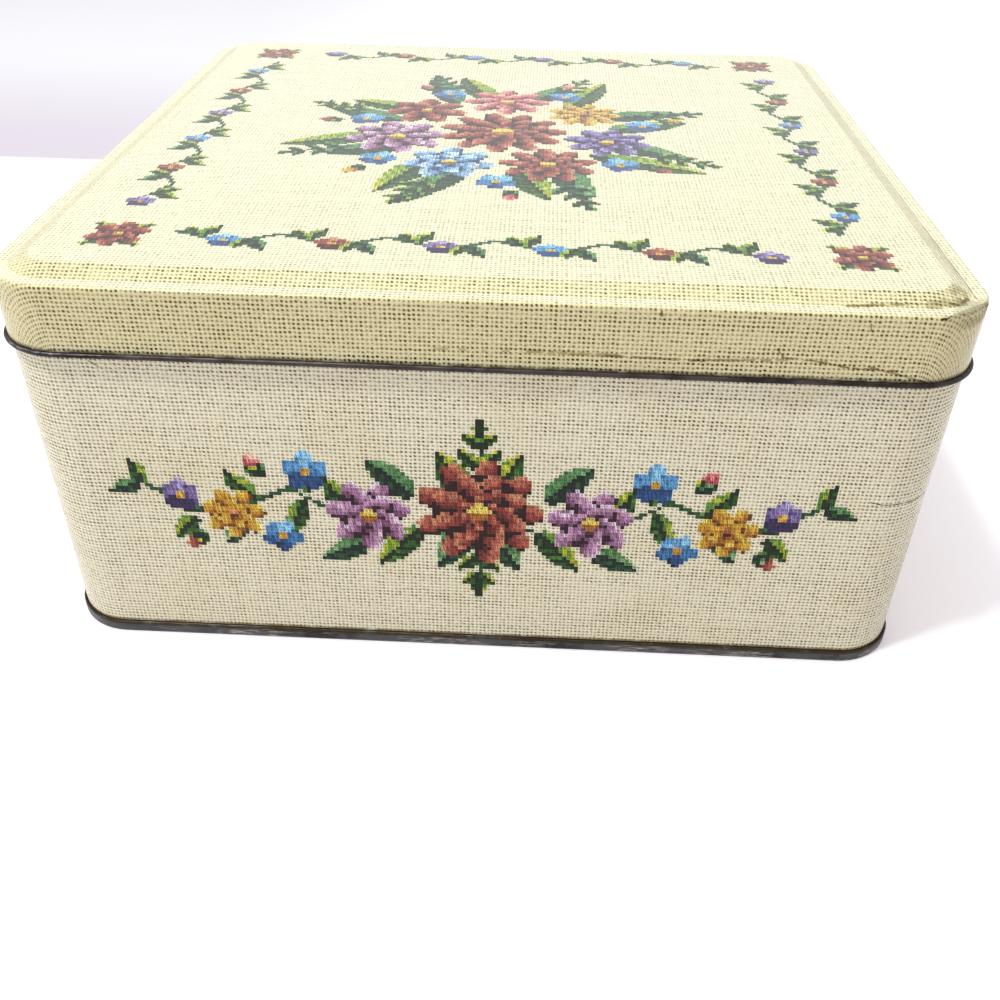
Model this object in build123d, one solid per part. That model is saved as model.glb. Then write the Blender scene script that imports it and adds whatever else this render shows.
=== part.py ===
from build123d import *
import os

# A low square tinplate box with a loose lid, made of three pressings: the lid, the wall and the base.
# Millimetres. The origin is the middle of the foot, +Z is up, +X is to the right of someone
# facing the front, and +Y points away from them.
# Each sheet is drawn as the line through the middle of its thickness, in a plane where "out" is
# the distance outwards from the wall's outer face and "up" is the height above the foot.

# The box as a whole
box_width = 210.0
box_depth = 210.0
body_height = 95.0
corner_radius = 14.5
sheet = 0.25

# The lid, with the radii of its bends on the hollow side of the sheet
lid_seat_gap = 0.15
skirt_clearance = 0.25
lid_depth = 16.05
shoulder_relief = 0.25
ledge_width = 3.6
step_width = 4.5
step_rise = 1.9
step_bend_radius = 0.6
lid_curl_diameter = 1.15
lid_curl_turn = 292.0

# The wall
mouth_curl_diameter = 2.0
mouth_curl_turn = 300.0
lock_seam_width = 4.0
lock_seam_from_middle = 72.0
lock_seam_layers = 3
lock_seam_line_width = 0.3
lock_seam_line_depth = 0.08
lock_seam_end_gap = 1.5

# The base and the double seam that joins it to the wall
seam_height = 3.2
seam_layer_gap = 0.02
seam_bend_radius = 0.2
seam_hook_overlap = 0.8
base_recess = 3.7
base_bend_radius = 0.8
base_border = 4.0
base_step_width = 1.2
base_step_drop = 0.7

# The flat part of a pressing reaches this far past the last bend of the rim round it
flat_margin = 0.8


def sheet_section(line):
    """The cut face of the sheet whose middle follows the line."""
    return trace(line, sheet)


def run_round(section):
    """The ring that the section makes when it follows the wall round the box."""
    reach_x = box_width / 2
    reach_y = box_depth / 2
    straight_x = reach_x - corner_radius
    straight_y = reach_y - corner_radius
    pieces = []
    for turn, reach, half_run in (
        (0, reach_x, straight_y),
        (90, reach_y, straight_x),
        (180, reach_x, straight_y),
        (270, reach_y, straight_x),
    ):
        side = extrude(Plane.XZ * Pos(reach, 0) * section, amount=half_run, both=True)
        pieces.append(Rot(0, 0, turn) * side)
    for turn, x, y in (
        (0, straight_x, straight_y),
        (90, -straight_x, straight_y),
        (180, -straight_x, -straight_y),
        (270, straight_x, -straight_y),
    ):
        bend = revolve(Plane.XZ * Pos(corner_radius, 0) * section, Axis.Z, revolution_arc=90)
        pieces.append(Pos(x, y) * Rot(0, 0, turn) * bend)
    return pieces[0].fuse(*pieces[1:]).clean()


def flat_plate(edge, level):
    """The flat sheet inside a ring, with its rounded edge at this distance out and this height up."""
    outline = RectangleRounded(box_width + 2 * edge, box_depth + 2 * edge, corner_radius + edge)
    return extrude(Pos(0, 0, level - sheet / 2) * outline, amount=sheet)


def make_lid():
    """The lid: panel, sloping step, ledge, shoulder, skirt and the curl rolled outwards at its foot."""
    ledge_level = body_height + lid_seat_gap + sheet / 2
    panel_level = ledge_level + step_rise
    skirt_out = skirt_clearance + sheet / 2
    step_foot = skirt_out + sheet / 2 - ledge_width
    step_top = step_foot - step_width
    panel_edge = step_top - flat_margin
    step_bend = step_bend_radius + sheet / 2
    shoulder_bend = mouth_curl_diameter / 2 - shoulder_relief + sheet / 2
    curl_radius = (lid_curl_diameter - sheet) / 2
    curl_level = ledge_level + sheet / 2 - lid_depth + lid_curl_diameter / 2
    flanks = FilletPolyline(
        (panel_edge, panel_level),
        (step_top, panel_level),
        (step_foot, ledge_level),
        (skirt_out, ledge_level),
        (skirt_out, curl_level),
        radius=(step_bend, step_bend, shoulder_bend),
    )
    curl = JernArc(flanks @ 1, flanks % 1, curl_radius, lid_curl_turn)
    rim = run_round(sheet_section(flanks + curl))
    return rim.fuse(flat_plate(panel_edge, panel_level)).clean()


def seam_layer(count_out):
    """How far out the middle of a seam layer lies: the wall is 0, and those outside it count up."""
    return count_out * (sheet + seam_layer_gap) - sheet / 2


def make_lock_seam():
    """The folded joint of the strip's two ends, pressed flat on the inside of the back wall."""
    inner_face = box_depth / 2 - sheet
    fold = lock_seam_layers * sheet
    low = base_recess + lock_seam_end_gap
    high = body_height - mouth_curl_diameter - lock_seam_end_gap
    outline = Pos(lock_seam_from_middle, inner_face) * SlotOverall(lock_seam_width, 2 * fold)
    inside = Pos(lock_seam_from_middle, inner_face - fold / 2) * Rectangle(lock_seam_width, fold)
    return extrude(Pos(0, 0, low) * (outline & inside), amount=high - low)


def make_body_wall():
    """The wall: hooked flange at the foot, rounded square strip, and the mouth curled inwards."""
    wall_out = seam_layer(0)
    hook_out = seam_layer(2)
    hook_bend = (hook_out - wall_out) / 2
    bend_level = sheet + seam_layer_gap + sheet / 2 + hook_bend
    hook_top = seam_height / 2 + seam_hook_overlap / 2
    curl_radius = (mouth_curl_diameter - sheet) / 2
    curl_level = body_height - mouth_curl_diameter / 2
    hook = Line((hook_out, hook_top), (hook_out, bend_level))
    hook_turn = JernArc(hook @ 1, hook % 1, hook_bend, -180)
    strip = Line(hook_turn @ 1, (wall_out, curl_level))
    curl = JernArc(strip @ 1, strip % 1, curl_radius, mouth_curl_turn)
    wall = run_round(sheet_section(hook + hook_turn + strip + curl))
    seam_line = Pos(lock_seam_from_middle, box_depth / 2) * Rectangle(
        lock_seam_line_width, 2 * lock_seam_line_depth
    )
    line_low = seam_height + seam_layer_gap
    line_high = body_height - mouth_curl_diameter
    groove = extrude(Pos(0, 0, line_low) * seam_line, amount=line_high - line_low)
    return wall.fuse(make_lock_seam()).cut(groove).clean()


def make_base():
    """The base: recessed floor, chuck wall, and the rim rolled round the wall's hooked flange."""
    chuck_out = seam_layer(-1)
    end_hook_out = seam_layer(1)
    outside_out = seam_layer(3)
    hook_bend = (outside_out - end_hook_out) / 2
    top_bend_level = seam_height - sheet / 2 - hook_bend
    hook_tip = seam_height / 2 - seam_hook_overlap / 2
    seam_bend = seam_bend_radius + sheet / 2
    floor_bend = base_bend_radius + sheet / 2
    border_inner = chuck_out - floor_bend - base_border
    step_inner = border_inner - base_step_width
    floor_edge = step_inner - flat_margin
    floor_level = base_recess - base_step_drop
    end_hook = Line((end_hook_out, hook_tip), (end_hook_out, top_bend_level))
    end_turn = JernArc(end_hook @ 1, end_hook % 1, hook_bend, -180)
    rim = FilletPolyline(
        end_turn @ 1,
        (outside_out, sheet / 2),
        (chuck_out, sheet / 2),
        (chuck_out, base_recess),
        (border_inner, base_recess),
        (step_inner, floor_level),
        (floor_edge, floor_level),
        radius=(seam_bend, seam_bend, floor_bend, floor_bend, floor_bend),
    )
    ring = run_round(sheet_section(end_hook + end_turn + rim))
    return ring.fuse(flat_plate(floor_edge, floor_level)).clean()


os.makedirs("parts", exist_ok=True)
pieces = {
    "lid": make_lid(),
    "body_wall": make_body_wall(),
    "base": make_base(),
}
for name, piece in pieces.items():
    piece.label = name
    export_step(piece, f"parts/{name}.step")
    box = piece.bounding_box()
    print(name, "volume", round(piece.volume, 1), "from", box.min, "to", box.max)
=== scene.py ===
"""A square printed tinplate keepsake box with a loose lid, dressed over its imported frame."""

import logging
import math
from contextlib import contextmanager
from dataclasses import dataclass, field
from enum import Enum
from functools import cache
from typing import Iterator

import bpy
import numpy as np
from mathutils import Euler, Matrix, Vector


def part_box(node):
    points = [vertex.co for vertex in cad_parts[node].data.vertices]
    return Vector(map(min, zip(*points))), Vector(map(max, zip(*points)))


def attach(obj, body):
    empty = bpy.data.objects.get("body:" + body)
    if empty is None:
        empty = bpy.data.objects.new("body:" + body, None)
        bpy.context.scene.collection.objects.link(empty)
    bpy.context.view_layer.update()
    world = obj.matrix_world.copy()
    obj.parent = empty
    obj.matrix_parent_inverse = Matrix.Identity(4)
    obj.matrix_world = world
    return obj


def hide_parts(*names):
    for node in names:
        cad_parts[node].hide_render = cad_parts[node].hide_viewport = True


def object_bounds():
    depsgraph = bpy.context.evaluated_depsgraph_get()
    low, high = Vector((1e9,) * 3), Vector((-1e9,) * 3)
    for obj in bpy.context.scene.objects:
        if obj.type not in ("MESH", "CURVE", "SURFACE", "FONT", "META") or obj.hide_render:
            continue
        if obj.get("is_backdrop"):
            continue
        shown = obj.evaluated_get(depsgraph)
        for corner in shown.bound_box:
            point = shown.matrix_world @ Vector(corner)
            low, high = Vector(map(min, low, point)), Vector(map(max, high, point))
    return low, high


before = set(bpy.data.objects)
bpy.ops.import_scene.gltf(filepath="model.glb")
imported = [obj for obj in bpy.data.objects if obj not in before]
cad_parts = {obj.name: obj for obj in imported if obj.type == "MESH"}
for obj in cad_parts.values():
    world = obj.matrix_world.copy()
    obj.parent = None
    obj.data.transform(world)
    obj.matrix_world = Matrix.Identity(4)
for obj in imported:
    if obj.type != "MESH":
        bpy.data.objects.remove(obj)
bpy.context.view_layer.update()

MM = 0.001
CELL_MAP = "print"
BAKE_MAP = "OFBake"
STITCH_LAYER = "stitch"

# In millimetres: where the centres of the box's corners lie, where the lid's sheet begins to be
# drawn round a corner, and over what length it comes to be fully drawn.
CORNER_CENTRE = 90.5
CORNER_DRAW = (93.0, 93.0, 0.0)
CORNER_DRAW_SPAN = 4.0

log = logging.getLogger("tin_box")


class Thread(Enum):
    """The printed embroidery threads, each from its darkest to its lightest shade."""

    RUST = ("260e0c", "441610", "662a22", "883a31", "a85c48", "c08060")
    MAUVE = ("2c1420", "4e2a40", "764a68", "9a6e8e", "be92b0", "dcc6d8")
    GOLD = ("6e3f14", "a0661e", "bf8a2c", "cfa93c", "dcc660")
    PALE_BLUE = ("243658", "40608e", "648cb4", "98b8d4", "ccdce8")
    BLUE = ("162440", "26487a", "3c70a4", "5a94c4", "86bfe2")
    VIOLET = ("1c1432", "34284e", "524276", "7c6a9e", "a698c4")
    ROSE = ("471624", "7d273a", "ae4d56", "d07c76", "ecb8a4")
    LEAF = ("142810", "2c541c", "487a2c", "688e34", "a2ac30", "c8c43c")
    PINE = ("12241a", "264c2c", "3e6e3e", "5c8854", "8eb080")


class Side(Enum):
    """The four sides of the wall, each with its turn about the box's axis in degrees."""

    FRONT = 0
    RIGHT = 90
    BACK = 180
    LEFT = 270


def linear_colour(code: str) -> tuple[float, float, float, float]:
    """Reads a colour code.

    Args:
        code: Six hex digits of an sRGB colour.

    Returns:
        The linear red, green, blue and an alpha of 1.
    """
    channels = (int(code[at : at + 2], 16) / 255 for at in (0, 2, 4))
    linear = [
        channel / 12.92 if channel <= 0.04045 else ((channel + 0.055) / 1.055) ** 2.4
        for channel in channels
    ]
    return (*linear, 1.0)


def heading(degrees: float) -> tuple[float, float]:
    """Returns the cosine and sine of an angle in degrees."""
    turn = math.radians(degrees)
    return math.cos(turn), math.sin(turn)


@dataclass(frozen=True)
class Bloom:
    """A round flower made of rings of overlapping petals.

    Attributes:
        thread: The petals' thread.
        radius: Its radius in stitches.
        petals: How many petals the outer ring has.
        rings: How many rings it has.
        eye: The thread of its middle.
    """

    thread: Thread
    radius: float
    petals: int
    rings: int = 3
    eye: Thread = Thread.GOLD


@dataclass
class StitchChart:
    """A counted chart: one thread colour for each square of canvas, and clear where it is bare.

    Attributes:
        columns: Squares across the chart.
        rows: Squares up the chart.
        seed: Seed of the grain that mixes neighbouring shades.
        cells: The chart itself, rows by columns by linear red, green, blue and cover.
    """

    columns: int
    rows: int
    seed: int
    cells: np.ndarray = field(init=False)

    def __post_init__(self) -> None:
        """Lays out the empty chart with its origin in the middle."""
        self.cells = np.zeros((self.rows, self.columns, 4))
        y, x = np.mgrid[0 : self.rows, 0 : self.columns]
        self.x = x + 0.5 - self.columns / 2
        self.y = y + 0.5 - self.rows / 2
        self.grain = np.random.default_rng(self.seed).uniform(-0.5, 0.5, x.shape)

    def stitch(self, mask: np.ndarray, tone: np.ndarray | float, thread: Thread) -> None:
        """Fills the masked squares with shades of one thread.

        Args:
            mask: Which squares are stitched.
            tone: The shade of each square, from 0 dark to 1 light.
            thread: The thread to stitch with.
        """
        shades = np.array([linear_colour(shade) for shade in thread.value])
        tone = np.broadcast_to(tone, mask.shape)
        pick = np.clip((tone + 0.11 * self.grain) * len(shades), 0, len(shades) - 1).astype(int)
        self.cells[mask] = shades[pick[mask]]

    def local(self, x: float, y: float, angle: float) -> tuple[np.ndarray, np.ndarray]:
        """Measures where each square lies as seen from a point.

        Args:
            x: The point's column, from the middle.
            y: The point's row, from the middle.
            angle: The direction to measure along, in degrees.

        Returns:
            Each square's distance along that direction and its distance to the left of it.
        """
        cos, sin = heading(angle)
        away_x, away_y = self.x - x, self.y - y
        return away_x * cos + away_y * sin, away_y * cos - away_x * sin

    def petal(
        self, x: float, y: float, angle: float, length: float, width: float,
        thread: Thread, low: float = 0.1, high: float = 1.0,
    ) -> None:
        """Stitches one petal, dark at its root and light at its tip and upper side.

        Args:
            x: Column of the root, from the middle.
            y: Row of the root, from the middle.
            angle: Direction of the tip in degrees.
            length: Length in stitches.
            width: Width in stitches.
            thread: The thread to stitch with.
            low: Tone at the root.
            high: Tone at the tip.
        """
        along, across = self.local(x, y, angle)
        share = along / length
        half = width / 2 * np.sqrt(np.clip(1 - (2 * share - 1.05) ** 2 / 1.15, 0, None))
        mask = (share > 0.02) & (share < 1.0) & (np.abs(across) <= half)
        side = across / (half + 1e-6)
        lit = side * math.copysign(1, heading(angle)[0])
        tone = low + (high - low) * (0.85 * share + 0.25 * lit - 0.06)
        tone = np.where((np.abs(side) > 0.80) & (lit < 0), low, tone)
        self.stitch(mask, tone, thread)

    def leaf(
        self, x: float, y: float, angle: float, length: float, width: float,
        thread: Thread = Thread.LEAF,
    ) -> None:
        """Stitches a pointed leaf with a dark half, a light half and a vein.

        Args:
            x: Column of the stalk, from the middle.
            y: Row of the stalk, from the middle.
            angle: Direction of the tip in degrees.
            length: Length in stitches.
            width: Width in stitches.
            thread: The thread to stitch with.
        """
        along, across = self.local(x, y, angle)
        share = np.clip(along / length, 0, 1)
        half = width / 2 * np.sin(math.pi * share**0.8) ** 0.75
        mask = (along > 0) & (along < length) & (np.abs(across) <= half + 0.2)
        upper = across * math.copysign(1, heading(angle)[0]) > 0
        ribs = 0.10 * np.sin(along * 2.1 + np.abs(across) * 1.6)
        tone = np.where(upper, 0.50 + 0.32 * share, 0.10 + 0.20 * share) + ribs
        tone = np.where(np.abs(across) < 0.55, 0.02, tone)
        self.stitch(mask, tone, thread)

    def stem(self, points: list[tuple[float, float]], thread: Thread = Thread.PINE) -> None:
        """Stitches a line, one square wide, smoothly through some points.

        Args:
            points: Column and row of each point, from the middle.
            thread: The thread to stitch with.
        """
        turns = np.array(points, float)
        steps = np.linspace(0, len(turns) - 1, 40 * len(turns))
        first = np.clip(steps.astype(int), 0, len(turns) - 2)
        share = (steps - first)[:, None]
        share = share * share * (3 - 2 * share)
        way = turns[first] * (1 - share) + turns[first + 1] * share
        column = np.clip((way[:, 0] + self.columns / 2).astype(int), 0, self.columns - 1)
        row = np.clip((way[:, 1] + self.rows / 2).astype(int), 0, self.rows - 1)
        mask = np.zeros(self.x.shape, bool)
        mask[row, column] = True
        self.stitch(mask, 0.25, thread)

    def bloom(self, x: float, y: float, kind: Bloom, turn: float = 0.0) -> None:
        """Stitches a full flower, its rings of petals from the outside in, then its eye.

        Args:
            x: Column of its middle, from the chart's middle.
            y: Row of its middle, from the chart's middle.
            kind: The kind of flower.
            turn: Turn of its rings in degrees.
        """
        for ring in range(kind.rings):
            reach = kind.radius * (1 - ring / (kind.rings + 0.35))
            count = max(kind.petals - ring, 4)
            if ring:
                self.stitch(np.hypot(self.x - x, self.y - y) < 0.92 * reach, 0.06, kind.thread)
            width = 1.30 * math.pi * reach / count
            low, high = ((0.02, 0.95), (0.10, 1.05))[ring % 2]
            for n in range(count):
                angle = turn + 360 * (n + 0.5 * (ring % 2)) / count
                self.petal(x, y, angle, reach, width, kind.thread, low, high)
        eye = np.hypot(self.x - x, self.y - y) < max(kind.radius * 0.17, 1.2)
        self.stitch(eye, 0.35 + 0.5 * (self.y > y), kind.eye)

    def floret(self, x: float, y: float, thread: Thread, radius: float = 4.0, turn: float = 90.0) -> None:
        """Stitches a small open flower of five round petals.

        Args:
            x: Column of its middle, from the chart's middle.
            y: Row of its middle, from the chart's middle.
            thread: The petals' thread.
            radius: Its radius in stitches.
            turn: Direction of its first petal in degrees.
        """
        petals = 5
        for n in range(petals):
            cos, sin = heading(turn + 360 / petals * n)
            root_x, root_y = x + 0.60 * radius * cos, y + 0.60 * radius * sin
            mask = np.hypot(self.x - root_x, self.y - root_y) < 0.46 * radius
            self.stitch(mask, 0.55 + 0.3 * sin + 0.16 * (self.x - root_x) / radius, thread)
        self.stitch(np.hypot(self.x - x, self.y - y) < 0.26 * radius, 0.6, Thread.GOLD)

    def bud(self, x: float, y: float, angle: float, thread: Thread, length: float = 6.0) -> None:
        """Stitches a closed bud between its two sepals.

        Args:
            x: Column of its root, from the middle.
            y: Row of its root, from the middle.
            angle: Direction of its tip in degrees.
            thread: The petal's thread.
            length: Its length in stitches.
        """
        share = 0.62 * length
        self.petal(x, y, angle, length, share, thread, 0.2, 0.95)
        for spread, green in ((28, Thread.LEAF), (-28, Thread.PINE)):
            self.leaf(x, y, angle + spread, share, 2.4, green)

    def sprig(
        self, x: float, y: float, angle: float, pairs: int,
        thread: Thread = Thread.LEAF, size: float = 6.0,
    ) -> None:
        """Stitches a stem with pairs of leaves that shrink towards its tip.

        Args:
            x: Column of the root, from the middle.
            y: Row of the root, from the middle.
            angle: Direction of the tip in degrees.
            pairs: How many pairs of leaves.
            thread: The thread of the leaves.
            size: Length of the largest leaf in stitches.
        """
        cos, sin = heading(angle)
        step = 0.8 * size
        self.stem([(x, y), (x + pairs * step * cos, y + pairs * step * sin)])
        for n in range(pairs):
            share = 1 - 0.45 * n / pairs
            root_x, root_y = x + (n + 0.5) * step * cos, y + (n + 0.5) * step * sin
            for turn in (48, -48):
                self.leaf(root_x, root_y, angle + turn, size * share, 0.5 * size * share, thread)
        self.leaf(x + pairs * step * cos, y + pairs * step * sin, angle, 0.7 * size, 0.4 * size, thread)


def lid_chart(size: int) -> StitchChart:
    """Draws the lid's design: a round posy inside a running vine.

    Args:
        size: Squares along each side of the chart.

    Returns:
        The finished chart.
    """
    chart = StitchChart(size, size, seed=11)
    greens = (Thread.LEAF, Thread.PINE)
    for n in range(16):
        angle = 22.5 * n + 8
        cos, sin = heading(angle)
        chart.leaf(30 * cos, 30 * sin, angle + 14 * (-1) ** n, 25 + 4 * (n % 3), 9.5, greens[n % 2])
    for n in range(8):
        angle = 45 * n + 22
        cos, sin = heading(angle)
        chart.sprig(44 * cos, 44 * sin, angle, 3, greens[(n + 1) % 2], 6.5)
    ring = (
        Bloom(Thread.ROSE, 13, 8),
        Bloom(Thread.RUST, 12, 7),
        Bloom(Thread.MAUVE, 14, 8),
        Bloom(Thread.PALE_BLUE, 12, 7),
        Bloom(Thread.RUST, 13, 9),
        Bloom(Thread.VIOLET, 12, 8),
        Bloom(Thread.GOLD, 11, 9, eye=Thread.RUST),
    )
    spacing = 360 / len(ring)
    for n, kind in enumerate(ring):
        angle = 90 + spacing * n
        cos, sin = heading(angle)
        chart.bloom(30 * cos, 30 * sin, kind, angle)
    for n in range(len(ring)):
        angle = 90 + spacing * (n + 0.5)
        cos, sin = heading(angle)
        chart.floret(41 * cos, 41 * sin, Thread.BLUE, 5.0, angle)
        bud = (Thread.ROSE, Thread.RUST, Thread.GOLD)[n % 3]
        chart.bud(47 * cos - 4 * sin, 47 * sin + 4 * cos, angle, bud, 7.0)
    chart.bloom(0, 0, Bloom(Thread.RUST, 18, 11, 4), 4)
    lay_vine(chart, reach=size / 2 - 9)
    return chart


def lay_vine(chart: StitchChart, reach: float, step: float = 12.0) -> None:
    """Runs a vine along the chart's four sides, with a flower in each corner.

    Args:
        chart: The chart to stitch on.
        reach: Distance from the middle to the vine.
        step: Length of one wave of the vine.
    """
    run_half = reach - step
    count = int(2 * run_half / step)
    small = (Thread.BLUE, Thread.RUST, Thread.VIOLET)
    for side in range(4):
        cos, sin = heading(90 * side)
        bends = [(-run_half + step * n, -reach + 2.6 * (-1) ** n) for n in range(count + 1)]
        chart.stem([(along * cos + up * sin, up * cos - along * sin) for along, up in bends])
        for n in range(count):
            along, sign = -run_half + step * (n + 0.5), (-1) ** n
            x, y = along * cos - reach * sin, -reach * cos - along * sin
            chart.leaf(x, y, 60 * sign - 90 * side, 7.5, 4.0, (Thread.LEAF, Thread.PINE)[n % 2])
            chart.leaf(x, y, 180 - 60 * sign - 90 * side, 6.5, 3.6, Thread.LEAF)
            if n % 2 == 0:
                along, up = along + step / 2, -reach - 1.5 * sign
                x, y = along * cos + up * sin, up * cos - along * sin
                chart.floret(x, y, small[(n // 2) % len(small)], 3.6)
    for x, y in ((-reach, -reach), (reach, -reach), (reach, reach), (-reach, reach)):
        for turn in (45, 135, 225, 315):
            chart.leaf(x, y, turn, 9, 4.5)
        chart.bloom(x, y, Bloom(Thread.RUST, 7, 6, 2), 20)


def wall_chart(columns: int, rows: int, heart: Thread, partner: Thread) -> StitchChart:
    """Draws one side's design: a garland mirrored about its middle flower.

    Args:
        columns: Squares across the chart.
        rows: Squares up the chart.
        heart: Thread of the middle flower.
        partner: Thread of the two flowers beside it.

    Returns:
        The finished chart.
    """
    chart = StitchChart(columns, rows, seed=23)
    # The garland lies under the wall's middle, because the lid covers the wall's upper part.
    middle = -0.075 * rows
    for sign in (-1, 1):
        bends = ((0, 0), (22, -9), (44, 5), (62, -4), (80, 6))
        chart.stem([(x * sign, middle + y) for x, y in bends])
        for x, y, angle, length, width, green in (
            (14, -5, -50, 15, 7, Thread.LEAF),
            (15, 4, 42, 15, 7, Thread.PINE),
            (26, -10, -25, 13, 6, Thread.PINE),
            (30, -2, 60, 12, 5.5, Thread.LEAF),
            (40, 4, 100, 9, 5, Thread.PINE),
            (41, 2, -70, 11, 5, Thread.LEAF),
            (52, 1, 50, 11, 5, Thread.LEAF),
            (55, -3, -60, 11, 5, Thread.PINE),
            (66, -3, 40, 9, 4.5, Thread.PINE),
            (67, -4, -50, 9, 4.5, Thread.LEAF),
            (78, 5, 70, 7, 4, Thread.LEAF),
            (79, 5, -20, 8, 4, Thread.PINE),
        ):
            turn = angle if sign > 0 else 180 - angle
            chart.leaf(x * sign, middle + y, turn, length, width, green)
        chart.bloom(26 * sign, middle - 2, Bloom(partner, 10, 7), 15)
        chart.floret(40 * sign, middle + 10, Thread.BLUE, 5.2)
        chart.floret(47 * sign, middle - 9, Thread.BLUE, 4.6, 60)
        chart.bloom(58 * sign, middle - 3, Bloom(Thread.GOLD, 7.5, 7, 2, Thread.RUST), 10)
        chart.bud(50 * sign, middle + 8, 90 - 30 * sign, Thread.ROSE, 7)
        chart.floret(70 * sign, middle + 2, Thread.VIOLET, 4.4)
        chart.bud(66 * sign, middle - 9, 40 * sign - 90, Thread.RUST, 6)
    for angle in (60, 120, -60, -120):
        chart.leaf(0, middle, angle, 20, 8, Thread.LEAF if angle > 0 else Thread.PINE)
    for sign in (-1, 1):
        chart.sprig(0, middle + 10 * sign, 90 * sign, 2, Thread.LEAF, 7)
    chart.bloom(0, middle, Bloom(heart, 15, 9, 4), 0)
    return chart


def take(piece: bpy.types.Object) -> None:
    """Makes a piece the only selected object and the active one.

    Args:
        piece: The object.
    """
    bpy.ops.object.select_all(action="DESELECT")
    piece.select_set(True)
    bpy.context.view_layer.objects.active = piece


def settle(piece: bpy.types.Object) -> None:
    """Puts the piece's place, turn and size into its mesh, and leaves it unturned at the origin."""
    take(piece)
    bpy.ops.object.transform_apply(location=True, rotation=True, scale=True)


@contextmanager
def editing(piece: bpy.types.Object, kind: str = "vertices") -> Iterator[None]:
    """Holds the piece in edit mode.

    Args:
        piece: The mesh object to edit.
        kind: What is selected by: vertices, edges or polygons.

    Yields:
        Nothing; the operators inside act on the piece's selection.
    """
    take(piece)
    kinds = ("vertices", "edges", "polygons")
    bpy.context.tool_settings.mesh_select_mode = tuple(kind == name for name in kinds)
    bpy.ops.object.mode_set(mode="EDIT")
    try:
        yield
    finally:
        bpy.ops.object.mode_set(mode="OBJECT")


def pick(piece: bpy.types.Object, kind: str, chosen: np.ndarray) -> None:
    """Selects the chosen parts of a mesh and nothing else.

    Args:
        piece: The mesh object, in object mode.
        kind: What is chosen: vertices, edges or polygons.
        chosen: One truth value for each of them.
    """
    mesh = piece.data
    for items in (mesh.vertices, mesh.edges, mesh.polygons):
        items.foreach_set("select", np.zeros(len(items), bool))
    getattr(mesh, kind).foreach_set("select", np.ascontiguousarray(chosen, bool))


def turn_out(piece: bpy.types.Object, face: int, way: tuple[float, float, float]) -> None:
    """Turns an open surface over where it looks to the wrong side.

    Args:
        piece: The mesh object, whose faces all look to one side.
        face: Number of one of its faces.
        way: A direction on the side that this face should look to.
    """
    if piece.data.polygons[face].normal.dot(Vector(way)) < 0:
        with editing(piece):
            bpy.ops.mesh.select_all(action="SELECT")
            bpy.ops.mesh.flip_normals()


def places(mesh: bpy.types.Mesh) -> np.ndarray:
    """Reads where a mesh's vertices are.

    Args:
        mesh: The mesh to read.

    Returns:
        One row of X, Y and Z for each vertex.
    """
    flat = np.empty(3 * len(mesh.vertices))
    mesh.vertices.foreach_get("co", flat)
    return flat.reshape(-1, 3)


def corner_vertices(mesh: bpy.types.Mesh) -> np.ndarray:
    """Reads which vertex each face corner stands on.

    Args:
        mesh: The mesh to read.

    Returns:
        One vertex number for each face corner.
    """
    numbers = np.empty(len(mesh.loops), np.int32)
    mesh.loops.foreach_get("vertex_index", numbers)
    return numbers


def face_values(mesh: bpy.types.Mesh, name: str, width: int = 1) -> np.ndarray:
    """Reads one property of all faces.

    Args:
        mesh: The mesh to read.
        name: The faces' property, such as center or normal.
        width: How many numbers the property has.

    Returns:
        One row for each face, or one number where the width is 1.
    """
    flat = np.empty(width * len(mesh.polygons), np.float32)
    mesh.polygons.foreach_get(name, flat)
    return flat.reshape(-1, width) if width > 1 else flat


def per_corner(mesh: bpy.types.Mesh, values: np.ndarray) -> np.ndarray:
    """Returns the faces' values, repeated for each corner of a face."""
    return np.repeat(values, face_values(mesh, "loop_total").astype(int), axis=0)


def finish_modifier(piece: bpy.types.Object, kind: str, **settings: object) -> None:
    """Adds a modifier, sets it and applies it.

    Args:
        piece: The mesh object.
        kind: The modifier's type.
        **settings: Its properties.
    """
    take(piece)
    modifier = piece.modifiers.new(kind.lower(), kind)
    for name, value in settings.items():
        setattr(modifier, name, value)
    bpy.ops.object.modifier_apply(modifier=modifier.name)


def write_map(mesh: bpy.types.Mesh, name: str, points: np.ndarray) -> None:
    """Gives the mesh a map of this name, from two coordinates for each face corner."""
    layer = mesh.uv_layers.get(name) or mesh.uv_layers.new(name=name)
    layer.data.foreach_set("uv", np.ascontiguousarray(points, np.float32).ravel())


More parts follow.
